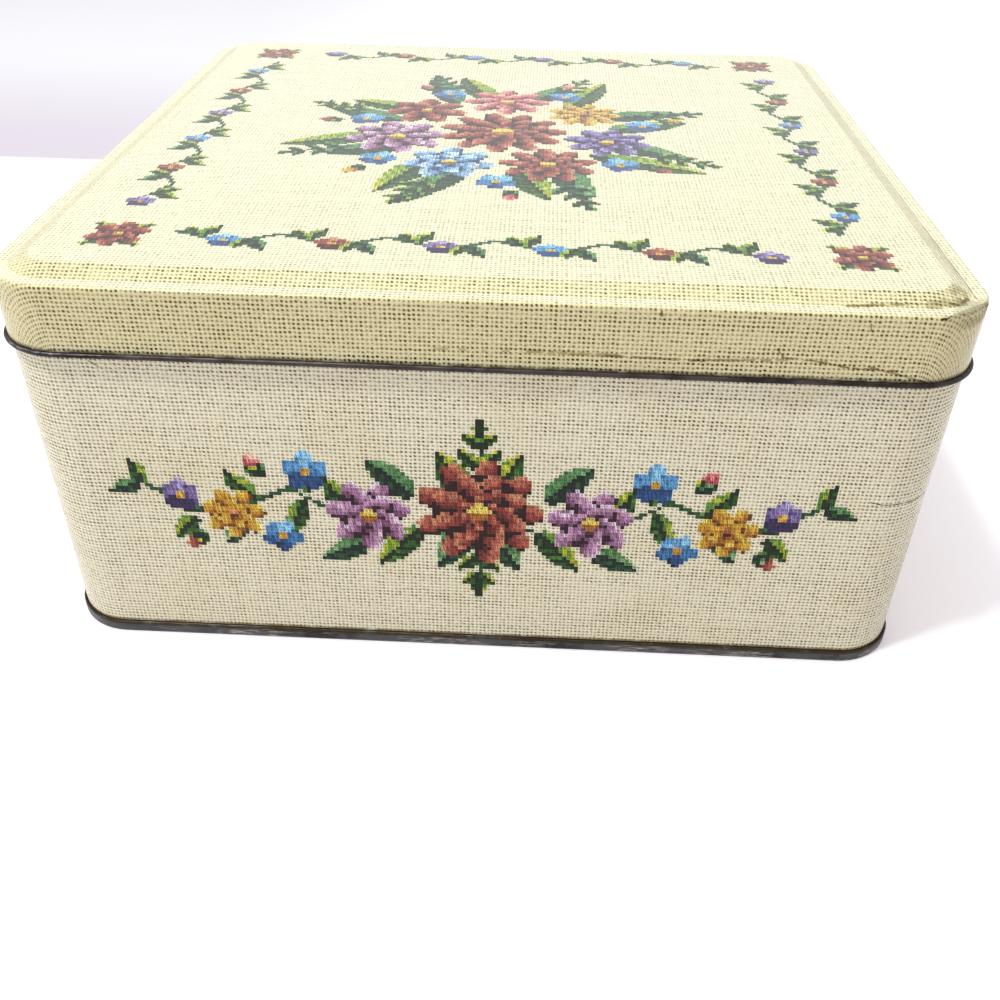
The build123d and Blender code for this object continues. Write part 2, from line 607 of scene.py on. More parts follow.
@dataclass
class SheetPen:
    """Draws the edge line of a pressing in the XZ plane by extruding and spinning one vertex.

    Attributes:
        out: How far the line has come along X.
        up: How far it has come along Z.
        back: Its place on Y.
        shift: How far the drawn line lies to the left of the line that the sizes describe.
        course: Where the line points in degrees, 0 along X and 90 along Z.
    """

    out: float
    up: float
    back: float
    shift: float = 0.0
    course: float = 0.0

    def start(self, name: str) -> bpy.types.Object:
        """Puts the first vertex in place.

        Args:
            name: The name of the new piece.

        Returns:
            The piece that holds the line.
        """
        self.up += self.shift
        bpy.ops.object.select_all(action="DESELECT")
        bpy.ops.mesh.primitive_plane_add(size=MM, location=(self.out, self.back, self.up))
        piece = bpy.context.object
        piece.name = piece.data.name = name
        settle(piece)
        with editing(piece):
            bpy.ops.mesh.select_all(action="SELECT")
            bpy.ops.mesh.merge(type="CENTER")
        return piece

    def straight(self, length: float) -> None:
        """Runs the line straight on.

        Args:
            length: How far.
        """
        cos, sin = heading(self.course)
        step = (length * cos, 0, length * sin)
        bpy.ops.mesh.extrude_region_move(TRANSFORM_OT_translate={"value": step})
        self.out, self.up = self.out + step[0], self.up + step[2]

    def bend(self, radius: float, degrees: float, steps: int) -> None:
        """Bends the line.

        Args:
            radius: Radius of the described line's bend.
            degrees: The turn, positive to the left.
            steps: How many edges make the bend.
        """
        left = math.copysign(1, degrees)
        reach = radius - left * self.shift
        cos, sin = heading(self.course + 90 * left)
        centre = Vector((self.out + reach * cos, self.back, self.up + reach * sin))
        turn = math.radians(abs(degrees))
        # Spin turns clockwise about its axis.
        bpy.ops.mesh.spin(steps=steps, angle=turn, center=centre, axis=(0, left, 0))
        self.course += degrees
        cos, sin = heading(self.course - 90 * left)
        self.out, self.up = centre.x + reach * cos, centre.z + reach * sin


def sweep_round(piece: bpy.types.Object, centre: float, steps: int) -> None:
    """Runs a drawn line round the box: four straight sides and four quarter turns.

    Args:
        piece: The piece that holds the line, drawn at the near end of the right-hand side.
        centre: Distance of the corner centres from the middle, along X and along Y.
        steps: How many faces make each corner.
    """
    with editing(piece):
        bpy.ops.mesh.select_all(action="SELECT")
        for quarter in range(4):
            cos, sin = heading(90 * quarter)
            run = (-2 * centre * sin, 2 * centre * cos, 0)
            pivot = (centre * (cos - sin), centre * (cos + sin), 0)
            bpy.ops.mesh.extrude_region_move(TRANSFORM_OT_translate={"value": run})
            bpy.ops.mesh.spin(steps=steps, angle=math.pi / 2, center=pivot, axis=(0, 0, -1))
        bpy.ops.mesh.select_all(action="SELECT")
        bpy.ops.mesh.remove_doubles(threshold=MM / 1000)


Socket = bpy.types.NodeSocket
Value = Socket | float | tuple[float, ...]
FLOAT, COLOUR, VECTOR = "NodeSocketFloat", "NodeSocketColor", "NodeSocketVector"

# The numbers of a Mix node's sockets for two colours and for their mixture.
FIRST_COLOUR, SECOND_COLOUR, MIXED_COLOUR = 6, 7, 2


class Graph:
    """A short way to place and join the nodes of one shader tree."""

    def __init__(self, tree: bpy.types.NodeTree) -> None:
        """Starts on a tree and empties it."""
        self.tree = tree
        tree.nodes.clear()

    def feed(self, socket: Socket, value: Value) -> None:
        """Joins an input to another node's output, or sets its value.

        Args:
            socket: The input.
            value: The output, or the value.
        """
        if isinstance(value, Socket):
            self.tree.links.new(value, socket)
        else:
            socket.default_value = value

    def add(self, kind: str, inputs: dict | None = None, **settings: object) -> bpy.types.Node:
        """Places a node.

        Args:
            kind: The node's type without its ShaderNode prefix.
            inputs: Values or outputs for its sockets, by name or number.
            **settings: Its properties.

        Returns:
            The node.
        """
        node = self.tree.nodes.new("ShaderNode" + kind)
        for name, value in settings.items():
            setattr(node, name, value)
        for name, value in (inputs or {}).items():
            self.feed(node.inputs[name], value)
        return node

    def math(self, operation: str, first: Value, second: Value = 0.0, clamp: bool = False) -> Socket:
        """Returns what a Math node makes of two numbers, kept between 0 and 1 where it is clamped."""
        return self.add("Math", {0: first, 1: second}, operation=operation, use_clamp=clamp).outputs[0]

    def product(self, *factors: Value) -> Socket:
        """Multiplies numbers.

        Args:
            *factors: Two numbers or more.

        Returns:
            Their product.
        """
        result = factors[0]
        for factor in factors[1:]:
            result = self.math("MULTIPLY", result, factor)
        return result

    def vector(self, operation: str, first: Value, second: Value = (0, 0, 0)) -> Socket:
        """Returns what a Vector Math node makes: a number for a length or dot product, else a vector."""
        node = self.add("VectorMath", {0: first, 1: second}, operation=operation)
        return node.outputs["Value" if operation in ("LENGTH", "DOT_PRODUCT") else "Vector"]

    def scaled(self, vector: Value, factor: Value) -> Socket:
        """Returns a vector, or a colour, times a factor."""
        return self.add("VectorMath", {0: vector, "Scale": factor}, operation="SCALE").outputs[0]

    def parts(self, vector: Value) -> tuple[Socket, ...]:
        """Returns the X, Y and Z of a vector."""
        return tuple(self.add("SeparateXYZ", {0: vector}).outputs)

    def joined(self, x: Value, y: Value = 0.0, z: Value = 0.0) -> Socket:
        """Returns the vector of three numbers."""
        return self.add("CombineXYZ", {0: x, 1: y, 2: z}).outputs[0]

    def ramp(self, value: Value, start: Value, end: Value, low: Value = 0.0, high: Value = 1.0) -> Socket:
        """Returns the value carried smoothly from one range to another."""
        inputs = {"Value": value, "From Min": start, "From Max": end, "To Min": low, "To Max": high}
        return self.add("MapRange", inputs, interpolation_type="SMOOTHSTEP").outputs["Result"]

    def mixed(self, share: Value, first: Value, second: Value, how: str = "MIX") -> Socket:
        """Returns two colours mixed, with this share of the second one."""
        inputs = {0: share, FIRST_COLOUR: first, SECOND_COLOUR: second}
        return self.add("Mix", inputs, data_type="RGBA", blend_type=how).outputs[MIXED_COLOUR]

    def noise(self, place: Value, scale: Value, detail: float = 2.0, roughness: float = 0.5) -> Socket:
        """Returns a noise between about 0.3 and 0.7, which is 0.5 on average."""
        inputs = {"Vector": place, "Scale": scale, "Detail": detail, "Roughness": roughness}
        return self.add("TexNoise", inputs).outputs["Fac"]

    def streaks(self, place: tuple[Value, ...], waves: tuple[float, float], detail: float = 1.0) -> Socket:
        """Returns a noise with its own number of waves along each of two directions."""
        stretched = [self.product(way, count) for way, count in zip(place, waves)]
        return self.noise(self.joined(*stretched), 1.0, detail)

    def luck(self, square: Value) -> bpy.types.bpy_prop_collection:
        """Returns the random Value and Color of each square."""
        return self.add("TexWhiteNoise", {"Vector": square}, noise_dimensions="2D").outputs

    def oval(self, place: tuple[Value, ...], wide: Value, tall: Value) -> Socket:
        """Returns how far a place lies from an oval's middle, which is 1 at the oval's edge."""
        along, across = self.math("DIVIDE", place[0], wide), self.math("DIVIDE", place[1], tall)
        return self.vector("LENGTH", self.joined(along, across))

    def effect(self, tree: bpy.types.NodeTree, **inputs: Value) -> Socket:
        """Places a node group.

        Args:
            tree: The group.
            **inputs: Values or outputs for its sockets, named with _ for a space.

        Returns:
            Its output.
        """
        node = self.add("Group", node_tree=tree)
        for name, value in inputs.items():
            self.feed(node.inputs[name.replace("_", " ")], value)
        return node.outputs[0]

    def show(self, shader: bpy.types.Node, kind: str = "OutputMaterial") -> None:
        """Joins a shader to the tree's output."""
        self.feed(self.add(kind).inputs["Surface"], shader.outputs[0])


def start_material(name: str) -> tuple[bpy.types.Material, Graph]:
    """Makes an empty material.

    Args:
        name: Its name.

    Returns:
        The material and its graph.
    """
    made = bpy.data.materials.new(name)
    made.use_nodes = True
    return made, Graph(made.node_tree)


class Effects:
    """The shader groups that several materials share, each built when it is first asked for.

    Attributes:
        half: The way from a square's corner to its middle.
        slant: The slant of the printed threads in degrees.
        stray: Over what part of a square the place of its hole varies.
        ridge: Half length and half width of the ridge where two threads cross, in squares.
        lean: How far the strokes of a stitch lean over, for each square upwards.
        strokes: How many strokes lie side by side in a stitch.
        stitch_hole: Half length and half width of a stitch's hole, in squares.
        fleck: Half width and half height of the light fleck between two stitches, in squares.
    """

    half = (0.5, 0.5, 0.0)
    slant = -28.0
    stray = 0.16
    ridge = (0.44, 0.19)
    lean = 0.22
    strokes = 2
    stitch_hole = (0.27, 0.19)
    fleck = (0.17, 0.46)

    @staticmethod
    def begin(
        name: str, inputs: dict[str, str], outputs: dict[str, str]
    ) -> tuple[Graph, bpy.types.bpy_prop_collection, bpy.types.Node]:
        """Starts a group.

        Args:
            name: The group's name.
            inputs: Socket types by name.
            outputs: Socket types by name.

        Returns:
            The graph, its inputs by name and its output node.
        """
        tree = bpy.data.node_groups.new(name, "ShaderNodeTree")
        for way, sockets in (("INPUT", inputs), ("OUTPUT", outputs)):
            for label, kind in sockets.items():
                tree.interface.new_socket(name=label, in_out=way, socket_type=kind)
        graph = Graph(tree)
        given = tree.nodes.new("NodeGroupInput")
        result = tree.nodes.new("NodeGroupOutput")
        return graph, given.outputs, result

    @classmethod
    def centred(cls, graph: Graph, cell: Socket) -> Socket:
        """Returns the way from the middle of the square to a place in it."""
        return graph.vector("SUBTRACT", graph.vector("FRACTION", cell), cls.half)

    @classmethod
    def tilted(cls, graph: Graph, place: Socket) -> tuple[Socket, Socket]:
        """Turns a place to the slant of the printed threads.

        Args:
            graph: The graph to work in.
            place: The place, in squares.

        Returns:
            Its distances along and across the slant.
        """
        cos, sin = heading(cls.slant)
        x, y, _ = graph.parts(place)
        along = graph.math("ADD", graph.product(x, cos), graph.product(y, sin))
        across = graph.math("SUBTRACT", graph.product(y, cos), graph.product(x, sin))
        return along, across

    @classmethod
    @cache
    def canvas(cls) -> bpy.types.NodeTree:
        """Builds the bare canvas: an open weave with a dark hole in each square.

        Returns:
            The group, from cell coordinates and two colours to a colour.
        """
        inputs = {
            "Cell": VECTOR, "Ground": COLOUR, "Hole": COLOUR,
            "Hole Width": FLOAT, "Hole Height": FLOAT, "Strength": FLOAT,
        }
        graph, given, result = cls.begin("canvas", inputs, {"Color": COLOUR})
        cell = given["Cell"]
        square = graph.vector("FLOOR", cell)
        chance = graph.luck(square)
        stray = graph.scaled(graph.vector("SUBTRACT", chance["Color"], (0.5, 0.5, 0.5)), cls.stray)
        place = cls.tilted(graph, graph.vector("ADD", cls.centred(graph, cell), stray))
        # A row of holes is strong or faint together over a length of some dozen squares.
        column, row, _ = graph.parts(square)
        by_row = graph.streaks((column, row), (0.035, 3.7))
        by_column = graph.streaks((column, row), (3.3, 0.035))
        strength = graph.product(
            given["Strength"],
            graph.ramp(chance["Value"], 0.0, 1.0, 0.72, 1.10),
            graph.ramp(by_row, 0.30, 0.70, 0.79, 1.14),
            graph.ramp(by_column, 0.30, 0.70, 0.88, 1.08),
        )
        size = graph.ramp(strength, 0.3, 1.1, 0.78, 1.16)
        wide, tall = (graph.product(given[label], size) for label in ("Hole Width", "Hole Height"))
        cover = graph.ramp(graph.oval(place, wide, tall), 1.35, 0.65)
        cover = graph.math("MULTIPLY", cover, strength, clamp=True)
        # Each crossing of the threads catches the light on a slanting ridge.
        crossing = cls.centred(graph, graph.vector("ADD", cell, cls.half))
        ridge = graph.oval(cls.tilted(graph, crossing), *cls.ridge)
        ridge = graph.ramp(ridge, 1.25, 0.1, 0.0, 0.22)
        fibre = graph.streaks(cls.tilted(graph, cell), (1.1, 3.6))
        light = graph.math("ADD", graph.ramp(fibre, 0.28, 0.72, 0.82, 1.06), ridge)
        ground = graph.scaled(given["Ground"], light)
        graph.feed(result.inputs["Color"], graph.mixed(cover, ground, given["Hole"]))
        return graph.tree

    @classmethod
    @cache
    def stitches(cls) -> bpy.types.NodeTree:
        """Builds a stitched square: long slanting strokes, a dark hole and light flecks.

        Returns:
            The group, from cell coordinates and a thread colour to a colour.
        """
        graph, given, result = cls.begin("stitches", {"Cell": VECTOR, "Thread": COLOUR}, {"Color": COLOUR})
        cell, thread = given["Cell"], given["Thread"]
        chance = graph.luck(graph.vector("FLOOR", cell))
        column, row, _ = graph.parts(cell)
        lean = graph.math("ADD", column, graph.product(row, cls.lean))
        streak = graph.streaks((lean, row), (2.3, 0.45), 2.0)
        stroke = graph.math("COSINE", graph.product(lean, 2 * math.pi * cls.strokes))
        light = graph.product(
            graph.ramp(chance["Value"], 0.0, 1.0, 0.94, 1.06),
            graph.ramp(streak, 0.30, 0.70, 0.50, 1.50),
            graph.math("ADD", 1.02, graph.product(stroke, 0.27)),
        )
        lit = graph.scaled(thread, light)
        hole = graph.oval(cls.tilted(graph, cls.centred(graph, cell)), *cls.stitch_hole)
        hole = graph.product(graph.ramp(hole, 1.4, 0.4), graph.ramp(streak, 0.35, 0.65, 1.0, 0.70))
        lit = graph.mixed(hole, lit, graph.scaled(thread, 0.20))
        # The flecks lie where the threads of neighbouring squares meet.
        meeting = graph.vector("ADD", cell, cls.half)
        luck = graph.luck(graph.vector("FLOOR", meeting))
        fleck = graph.oval(graph.parts(cls.centred(graph, meeting)), *cls.fleck)
        fleck = graph.product(graph.ramp(fleck, 1.3, 0.3), graph.ramp(luck["Value"], 0.45, 0.95, 0.0, 0.60))
        graph.feed(result.inputs["Color"], graph.mixed(fleck, lit, graph.scaled(thread, 1.5)))
        return graph.tree

    @classmethod
    @cache
    def scratch(cls) -> bpy.types.NodeTree:
        """Builds a broken line between two points, for scratches, scuffs, chips, smudges and strokes of
        painted shade and painted highlight.

        Returns:
            The group, from a place, two ends and a width to a mask.
        """
        inputs = {
            "Place": VECTOR, "Start": VECTOR, "End": VECTOR,
            "Width": FLOAT, "Break": FLOAT, "Grain": FLOAT,
        }
        graph, given, result = cls.begin("scratch", inputs, {"Mask": FLOAT})
        place, width = given["Place"], given["Width"]
        along = graph.vector("SUBTRACT", given["End"], given["Start"])
        away = graph.vector("SUBTRACT", place, given["Start"])
        size = graph.vector("DOT_PRODUCT", along, along)
        share = graph.math("DIVIDE", graph.vector("DOT_PRODUCT", away, along), size, clamp=True)
        gap = graph.vector("LENGTH", graph.vector("SUBTRACT", away, graph.scaled(along, share)))
        ripple = graph.math("SUBTRACT", graph.noise(place, given["Grain"], 3.0), 0.5)
        gap = graph.math("ADD", gap, graph.product(ripple, graph.product(width, 2.0)))
        near = graph.ramp(graph.math("SUBTRACT", 1.0, graph.math("DIVIDE", gap, width)), 0.0, 0.55)
        patchy = graph.math("SUBTRACT", graph.noise(place, 420.0), given["Break"])
        patchy = graph.math("MULTIPLY", patchy, 9.0, clamp=True)
        graph.feed(result.inputs["Mask"], graph.math("MULTIPLY", near, patchy, clamp=True))
        return graph.tree


def millimetres(*values: float) -> tuple[float, ...]:
    """Returns millimetres as metres."""
    return tuple(value * MM for value in values)


@dataclass(frozen=True)
class Mark:
    """One scratch, scuff, chip, smudge, or stroke of painted shade or painted highlight, in millimetres.

    Attributes:
        start: One end.
        end: The other end.
        width: Half its width.
        strength: How much of it covers what is under it, up to 1.
        gaps: How much of it is missing, from 0.3 whole to 0.6 nearly gone.
        grain: How fine its ragged edge is, in waves per metre.
    """

    start: tuple[float, float, float]
    end: tuple[float, float, float]
    width: float
    strength: float = 0.8
    gaps: float = 0.42
    grain: float = 900.0

    def mask(self, graph: Graph, place: Socket) -> Socket:
        """Marks the surface.

        Args:
            graph: The material's graph.
            place: The place on the object.

        Returns:
            How much of the mark covers the place.
        """
        line = graph.effect(
            Effects.scratch(), Place=place, Start=millimetres(*self.start), End=millimetres(*self.end),
            Width=self.width * MM, Break=self.gaps, Grain=self.grain,
        )
        return graph.product(line, self.strength)


def round_corner(
    radius: float, start: float, end: float, height: float, count: int,
    width: float, strength: float, gaps: float,
) -> tuple[Mark, ...]:
    """Lays marks end to end round one of the front's corners.

    Args:
        radius: Distance from the corner's centre in millimetres.
        start: Where the first begins, in degrees round the corner's centre.
        end: Where the last ends.
        height: Their height in millimetres.
        count: How many marks make the line.
        width: Half its width.
        strength: How much of it covers what is under it.
        gaps: How much of it is missing.

    Returns:
        The marks.
    """
    turns = [heading(start + (end - start) * n / count) for n in range(count + 1)]
    side = math.copysign(CORNER_CENTRE, sum(cos for cos, _ in turns))
    ends = [(side + radius * cos, radius * sin - CORNER_CENTRE, height) for cos, sin in turns]
    return tuple(Mark(*pair, width, strength, gaps) for pair in zip(ends, ends[1:]))


@dataclass(frozen=True)
class GrimeAndShade:
    """A ragged band between two heights, in millimetres, used both for grit that gathers there and for
    painted shade in a groove.

    Attributes:
        low: Height at which it begins.
        peak: Height at which it is strongest.
        high: Height at which it ends.
        strength: How much of it covers what is under it, up to 1.
        gaps: How much of it is missing, from 0.2 whole to 0.5 patchy.
    """

    low: float
    peak: float
    high: float
    strength: float
    gaps: float = 0.36

    def mask(self, graph: Graph, place: Socket) -> Socket:
        """Lays the band.

        Args:
            graph: The material's graph.
            place: The place on the object.

        Returns:
            How much of the band covers the place.
        """
        height = graph.parts(place)[2]
        ragged = graph.ramp(graph.noise(place, 240.0, 4.0, 0.65), self.gaps, self.gaps + 0.26)
        rise = graph.ramp(height, self.low * MM, self.peak * MM)
        fall = graph.ramp(height, self.high * MM, self.peak * MM, 0.0, self.strength)
        return graph.math("MULTIPLY", graph.product(rise, fall), ragged, clamp=True)


@dataclass(frozen=True)
class Knock:
    """A corner that was knocked in: past this upright plane the top slopes down.

    Attributes:
        facing: The plane's direction on X and Y.
        reach: Its distance from the middle in millimetres.
        floor: Height in millimetres under which nothing is bent.
        span: Height in millimetres over which the bend sets in.
        slope: How steeply the top falls.
    """

    facing: tuple[float, float]
    reach: float
    floor: float
    span: float
    slope: float

    def height(self, graph: Graph, place: Socket) -> Socket:
        """Bends the surface down.

        Args:
            graph: The material's graph.
            place: The place on the object.

        Returns:
            How much higher the surface is in metres, which is less than nothing.
        """
        past = graph.vector("DOT_PRODUCT", place, (*self.facing, 0))
        past = graph.math("MAXIMUM", graph.math("SUBTRACT", past, self.reach * MM), 0.0)
        near = graph.ramp(graph.parts(place)[2], self.floor * MM, (self.floor + self.span) * MM)
        return graph.product(past, near, -self.slope)


@dataclass(frozen=True)
class PrintFinish:
    """Ink on tinplate under a gloss varnish: a canvas ground with stitches on it.

    Attributes:
        name: The material's name.
        ground: Colour of the canvas.
        hole: Colour of its holes.
        hole_size: Half width and half height of a hole, in squares.
        strength: How dark the holes are, up to 1.
        aged: Colour that the ground turns to in patches.
        sheen_bleach_colour: Paler colour of the ground where it faces up: partly paled by sunlight, partly
            painted sheen of the light on the top.
        sheen_bleach_share: How far it has turned to that colour.
        grime_and_shade: Colour of scuffs and smudges, and of the painted shade at the step's foot, on the
            right-hand slope and at the knocked corner.
        soil_and_shade: Colour of the bands along the edges: settled grit at the wall's foot, painted shade
            in the groove above the lid's curl.
        metal: Colour of the metal where the print is gone.
        roughness: Roughness of the ink where it is smooth and where it is scuffed.
        gloss: How much gloss the varnish adds.
        varnish: Heights in millimetres between which the varnish goes from rubbed off to whole.
        deep: Heights in millimetres between which the holes go from black to their own colour.
        stretched: How much fainter the holes are where the sheet is drawn round a corner.
        waviness: How deep the sheet's waves are in millimetres.
        dirt_and_shade: Bands of grit, and of painted shade in a groove.
        marks: Scuffs and smudges on the print, and strokes of painted shade.
        chips: Places where the print is gone.
        knock: A corner that was knocked in.
    """

    name: str
    ground: str
    hole: str
    hole_size: tuple[float, float]
    strength: float
    aged: str = "d9c894"
    sheen_bleach_colour: str = "eeead0"
    sheen_bleach_share: float = 0.55
    grime_and_shade: str = "998452"
    soil_and_shade: str = "5c4a28"
    metal: str = "1e180c"
    roughness: tuple[float, float] = (0.22, 0.34)
    gloss: float = 0.12
    varnish: tuple[float, float] = (0.0, 0.0)
    deep: tuple[float, float] = (0.0, 0.0)
    stretched: float = 0.0
    waviness: float = 0.08
    dirt_and_shade: tuple[GrimeAndShade, ...] = ()
    marks: tuple[Mark, ...] = ()
    chips: tuple[Mark, ...] = ()
    knock: Knock | None = None

    def material(self) -> bpy.types.Material:
        """Builds the material.

        Returns:
            The material.
        """
        made, graph = start_material(self.name)
        place = graph.add("TexCoord").outputs["Object"]
        ink = self.printed(graph, place)
        # The bands and marks laid here are partly grit and scuffs, partly painted shade.
        for stains_and_shade, colour in ((self.dirt_and_shade, self.soil_and_shade), (self.marks, self.grime_and_shade)):
            for stain_and_shade in stains_and_shade:
                ink = graph.mixed(stain_and_shade.mask(graph, place), ink, linear_colour(colour), "MULTIPLY")
        bare = 0.0
        for chip in self.chips:
            bare = graph.math("MAXIMUM", bare, chip.mask(graph, place))
        ink = graph.mixed(bare, ink, linear_colour(self.metal))
        rub_and_highlight = graph.ramp(graph.noise(place, 60.0, 5.0, 0.6), 0.35, 0.75, *self.roughness)
        gloss = 0.0
        if any(self.varnish):
            gloss = graph.ramp(graph.parts(place)[2], *millimetres(*self.varnish), 0.0, self.gloss)
        waves = graph.product(graph.noise(place, 38.0), self.waviness * MM)
        if self.knock:
            waves = graph.math("ADD", waves, self.knock.height(graph, place))
        bump = graph.add("Bump", {"Strength": 1.0, "Distance": 1.0, "Height": waves})
        shader = graph.add("BsdfPrincipled", {
            "Base Color": ink,
            "Roughness": graph.math("ADD", rub_and_highlight, graph.product(bare, 0.3)),
            "Normal": bump.outputs[0],
            "IOR": 1.30,
            "Coat Weight": graph.product(gloss, graph.math("SUBTRACT", 1.0, bare)),
            "Coat Roughness": 0.18,
        })
        graph.show(shader)
        return made

    def printed(self, graph: Graph, place: Socket) -> Socket:
        """Prints the surface: bare canvas, and thread where the chart has a stitch.

        Args:
            graph: The material's graph.
            place: The place on the object.

        Returns:
            The print's colour.
        """
        cell = graph.add("UVMap", uv_map=CELL_MAP).outputs["UV"]
        stitch = graph.add("Attribute", attribute_name=STITCH_LAYER).outputs
        patch = graph.ramp(graph.noise(place, 48.0, 4.0), 0.45, 0.75, 0.0, 0.25)
        # Where the surface faces up the ground is mixed paler and its holes fainter: partly paling by
        # sunlight, partly painted sheen of the light falling on the top.
        upward_sheen_and_bleach = graph.ramp(graph.parts(graph.add("NewGeometry").outputs["Normal"])[2], 0.90, 0.99)
        ground = graph.mixed(patch, linear_colour(self.ground), linear_colour(self.aged))
        ground = graph.mixed(graph.product(upward_sheen_and_bleach, self.sheen_bleach_share), ground, linear_colour(self.sheen_bleach_colour))
        low = 0.0
        if any(self.deep):
            low = graph.ramp(graph.parts(place)[2], *millimetres(*self.deep), 1.0, 0.0)
        # The holes made fainter where the surface faces up are painted sheen.
        strength = graph.math("SUBTRACT", 1.0, graph.product(upward_sheen_and_bleach, 0.25))
        if self.stretched:
            drawn = self.drawn(graph, place)
            strength = graph.math("SUBTRACT", strength, graph.product(drawn, self.stretched))
        canvas = graph.effect(
            Effects.canvas(), Cell=cell, Ground=ground,
            Hole=graph.mixed(low, linear_colour(self.hole), linear_colour(self.metal)),
            Hole_Width=self.hole_size[0], Hole_Height=self.hole_size[1],
            Strength=graph.product(self.strength, strength),
        )
        threads = graph.effect(Effects.stitches(), Cell=cell, Thread=stitch["Color"])
        return graph.mixed(stitch["Alpha"], canvas, threads)

    @staticmethod
    def drawn(graph: Graph, place: Socket) -> Socket:
        """Finds where the sheet is drawn round a corner.

        Args:
            graph: The material's graph.
            place: The place on the object.

        Returns:
            1 in the corners and 0 along the sides.
        """
        past = graph.vector("SUBTRACT", graph.vector("ABSOLUTE", place), millimetres(*CORNER_DRAW))
        along_x, along_y, _ = graph.parts(graph.scaled(past, 1 / (CORNER_DRAW_SPAN * MM)))
        return graph.math("MINIMUM", along_x, along_y, clamp=True)


@dataclass(frozen=True)
class Rim:
    """The part of a square piece that lies past a rounded line, with colours of its own.

    Attributes:
        centre: Distance of the line's corner centres from the middle, in millimetres.
        radius: Radius of its corners, in millimetres.
        metal: Colour of the clean metal there.
        tarnish: Colour that it has turned to there.
        blur: Half the width of the line, in millimetres.
    """

    centre: float
    radius: float
    metal: str
    tarnish: str
    blur: float = 0.05

    def mask(self, graph: Graph, place: Socket) -> Socket:
        """Finds the rim.

        Args:
            graph: The material's graph.
            place: The place on the object.

        Returns:
            1 past the line.
        """
        reach = graph.vector("ABSOLUTE", graph.vector("MULTIPLY", place, (1, 1, 0)))
        past = graph.vector("SUBTRACT", reach, (self.centre * MM, self.centre * MM, 0))
        past = graph.vector("LENGTH", graph.vector("MAXIMUM", past))
        return graph.ramp(past, (self.radius - self.blur) * MM, (self.radius + self.blur) * MM)


@dataclass(frozen=True)
class TinFinish:
    """Bare or darkened tinplate with clouding, tarnish and fine scratches.

    Attributes:
        name: The material's name.
        metal: Colour of the clean metal.
        tarnish: Colour that it has turned to.
        tarnished: Share of the tarnish, from 0 to 1.
        roughness: Roughness of the clean metal.
        clouding: How much rougher the clouded metal is.
        metallic: How much it shines as metal.
        scratches: Strength of its bright scratches, up to 1.
        grain: Waves per metre of the fine grain, along X, Y and Z.
        bright: Colour of scratches and of the painted highlights.
        stain_and_shade: Colour of the grit on it and of the painted shade in its groove.
        dirt_and_shade: Bands of grit and of painted shade.
        rub_and_highlight: Painted highlights, laid as bright marks.
        rim: A rim with colours of its own, which alone is scratched and takes the bands of grit and painted
            shade.
    """

    name: str
    metal: str
    tarnish: str
    tarnished: float
    roughness: float
    clouding: float = 0.22
    metallic: float = 1.0
    scratches: float = 0.3
    grain: tuple[float, float, float] = (260.0, 260.0, 5200.0)
    bright: str = "c2beb4"
    stain_and_shade: str = "33291c"
    dirt_and_shade: tuple[GrimeAndShade, ...] = ()
    rub_and_highlight: tuple[Mark, ...] = ()
    rim: Rim | None = None

    def material(self) -> bpy.types.Material:
        """Builds the material.

        Returns:
            The material.
        """
        made, graph = start_material(self.name)
        place = graph.add("TexCoord").outputs["Object"]
        cloud = graph.noise(place, 70.0, 5.0, 0.62)
        dark = graph.ramp(cloud, 0.62 - 0.45 * self.tarnished, 0.80 - 0.40 * self.tarnished)
        metal, tarnish = linear_colour(self.metal), linear_colour(self.tarnish)
        share, scratches = 1.0, self.scratches
        if self.rim:
            share = self.rim.mask(graph, place)
            metal = graph.mixed(share, metal, linear_colour(self.rim.metal))
            tarnish = graph.mixed(share, tarnish, linear_colour(self.rim.tarnish))
            scratches = graph.product(share, scratches)
        colour = graph.mixed(dark, metal, tarnish)
        fine = graph.noise(graph.vector("MULTIPLY", place, self.grain), 1.0, 2.0, 0.6)
        where = graph.ramp(graph.noise(place, 55.0), 0.40, 0.58)
        worn_and_highlit = graph.product(graph.ramp(fine, 0.55, 0.62), graph.product(where, scratches))
        # The marks laid here are painted highlights.
        for mark in self.rub_and_highlight:
            worn_and_highlit = graph.math("MAXIMUM", worn_and_highlit, mark.mask(graph, place))
        colour = graph.mixed(worn_and_highlit, colour, linear_colour(self.bright))
        # The bands laid here are grit and painted shade.
        for band in self.dirt_and_shade:
            band_share = graph.product(share, band.mask(graph, place))
            colour = graph.mixed(band_share, colour, linear_colour(self.stain_and_shade))
        rough = graph.ramp(cloud, 0.3, 0.75, self.roughness, self.roughness + self.clouding)
        bump = graph.add("Bump", {"Strength": 0.25, "Distance": 0.0002, "Height": fine})
        shader = graph.add("BsdfPrincipled", {
            "Base Color": colour,
            "Roughness": rough,
            "Metallic": self.metallic,
            "Normal": bump.outputs[0],
        })
        graph.show(shader)
        return made


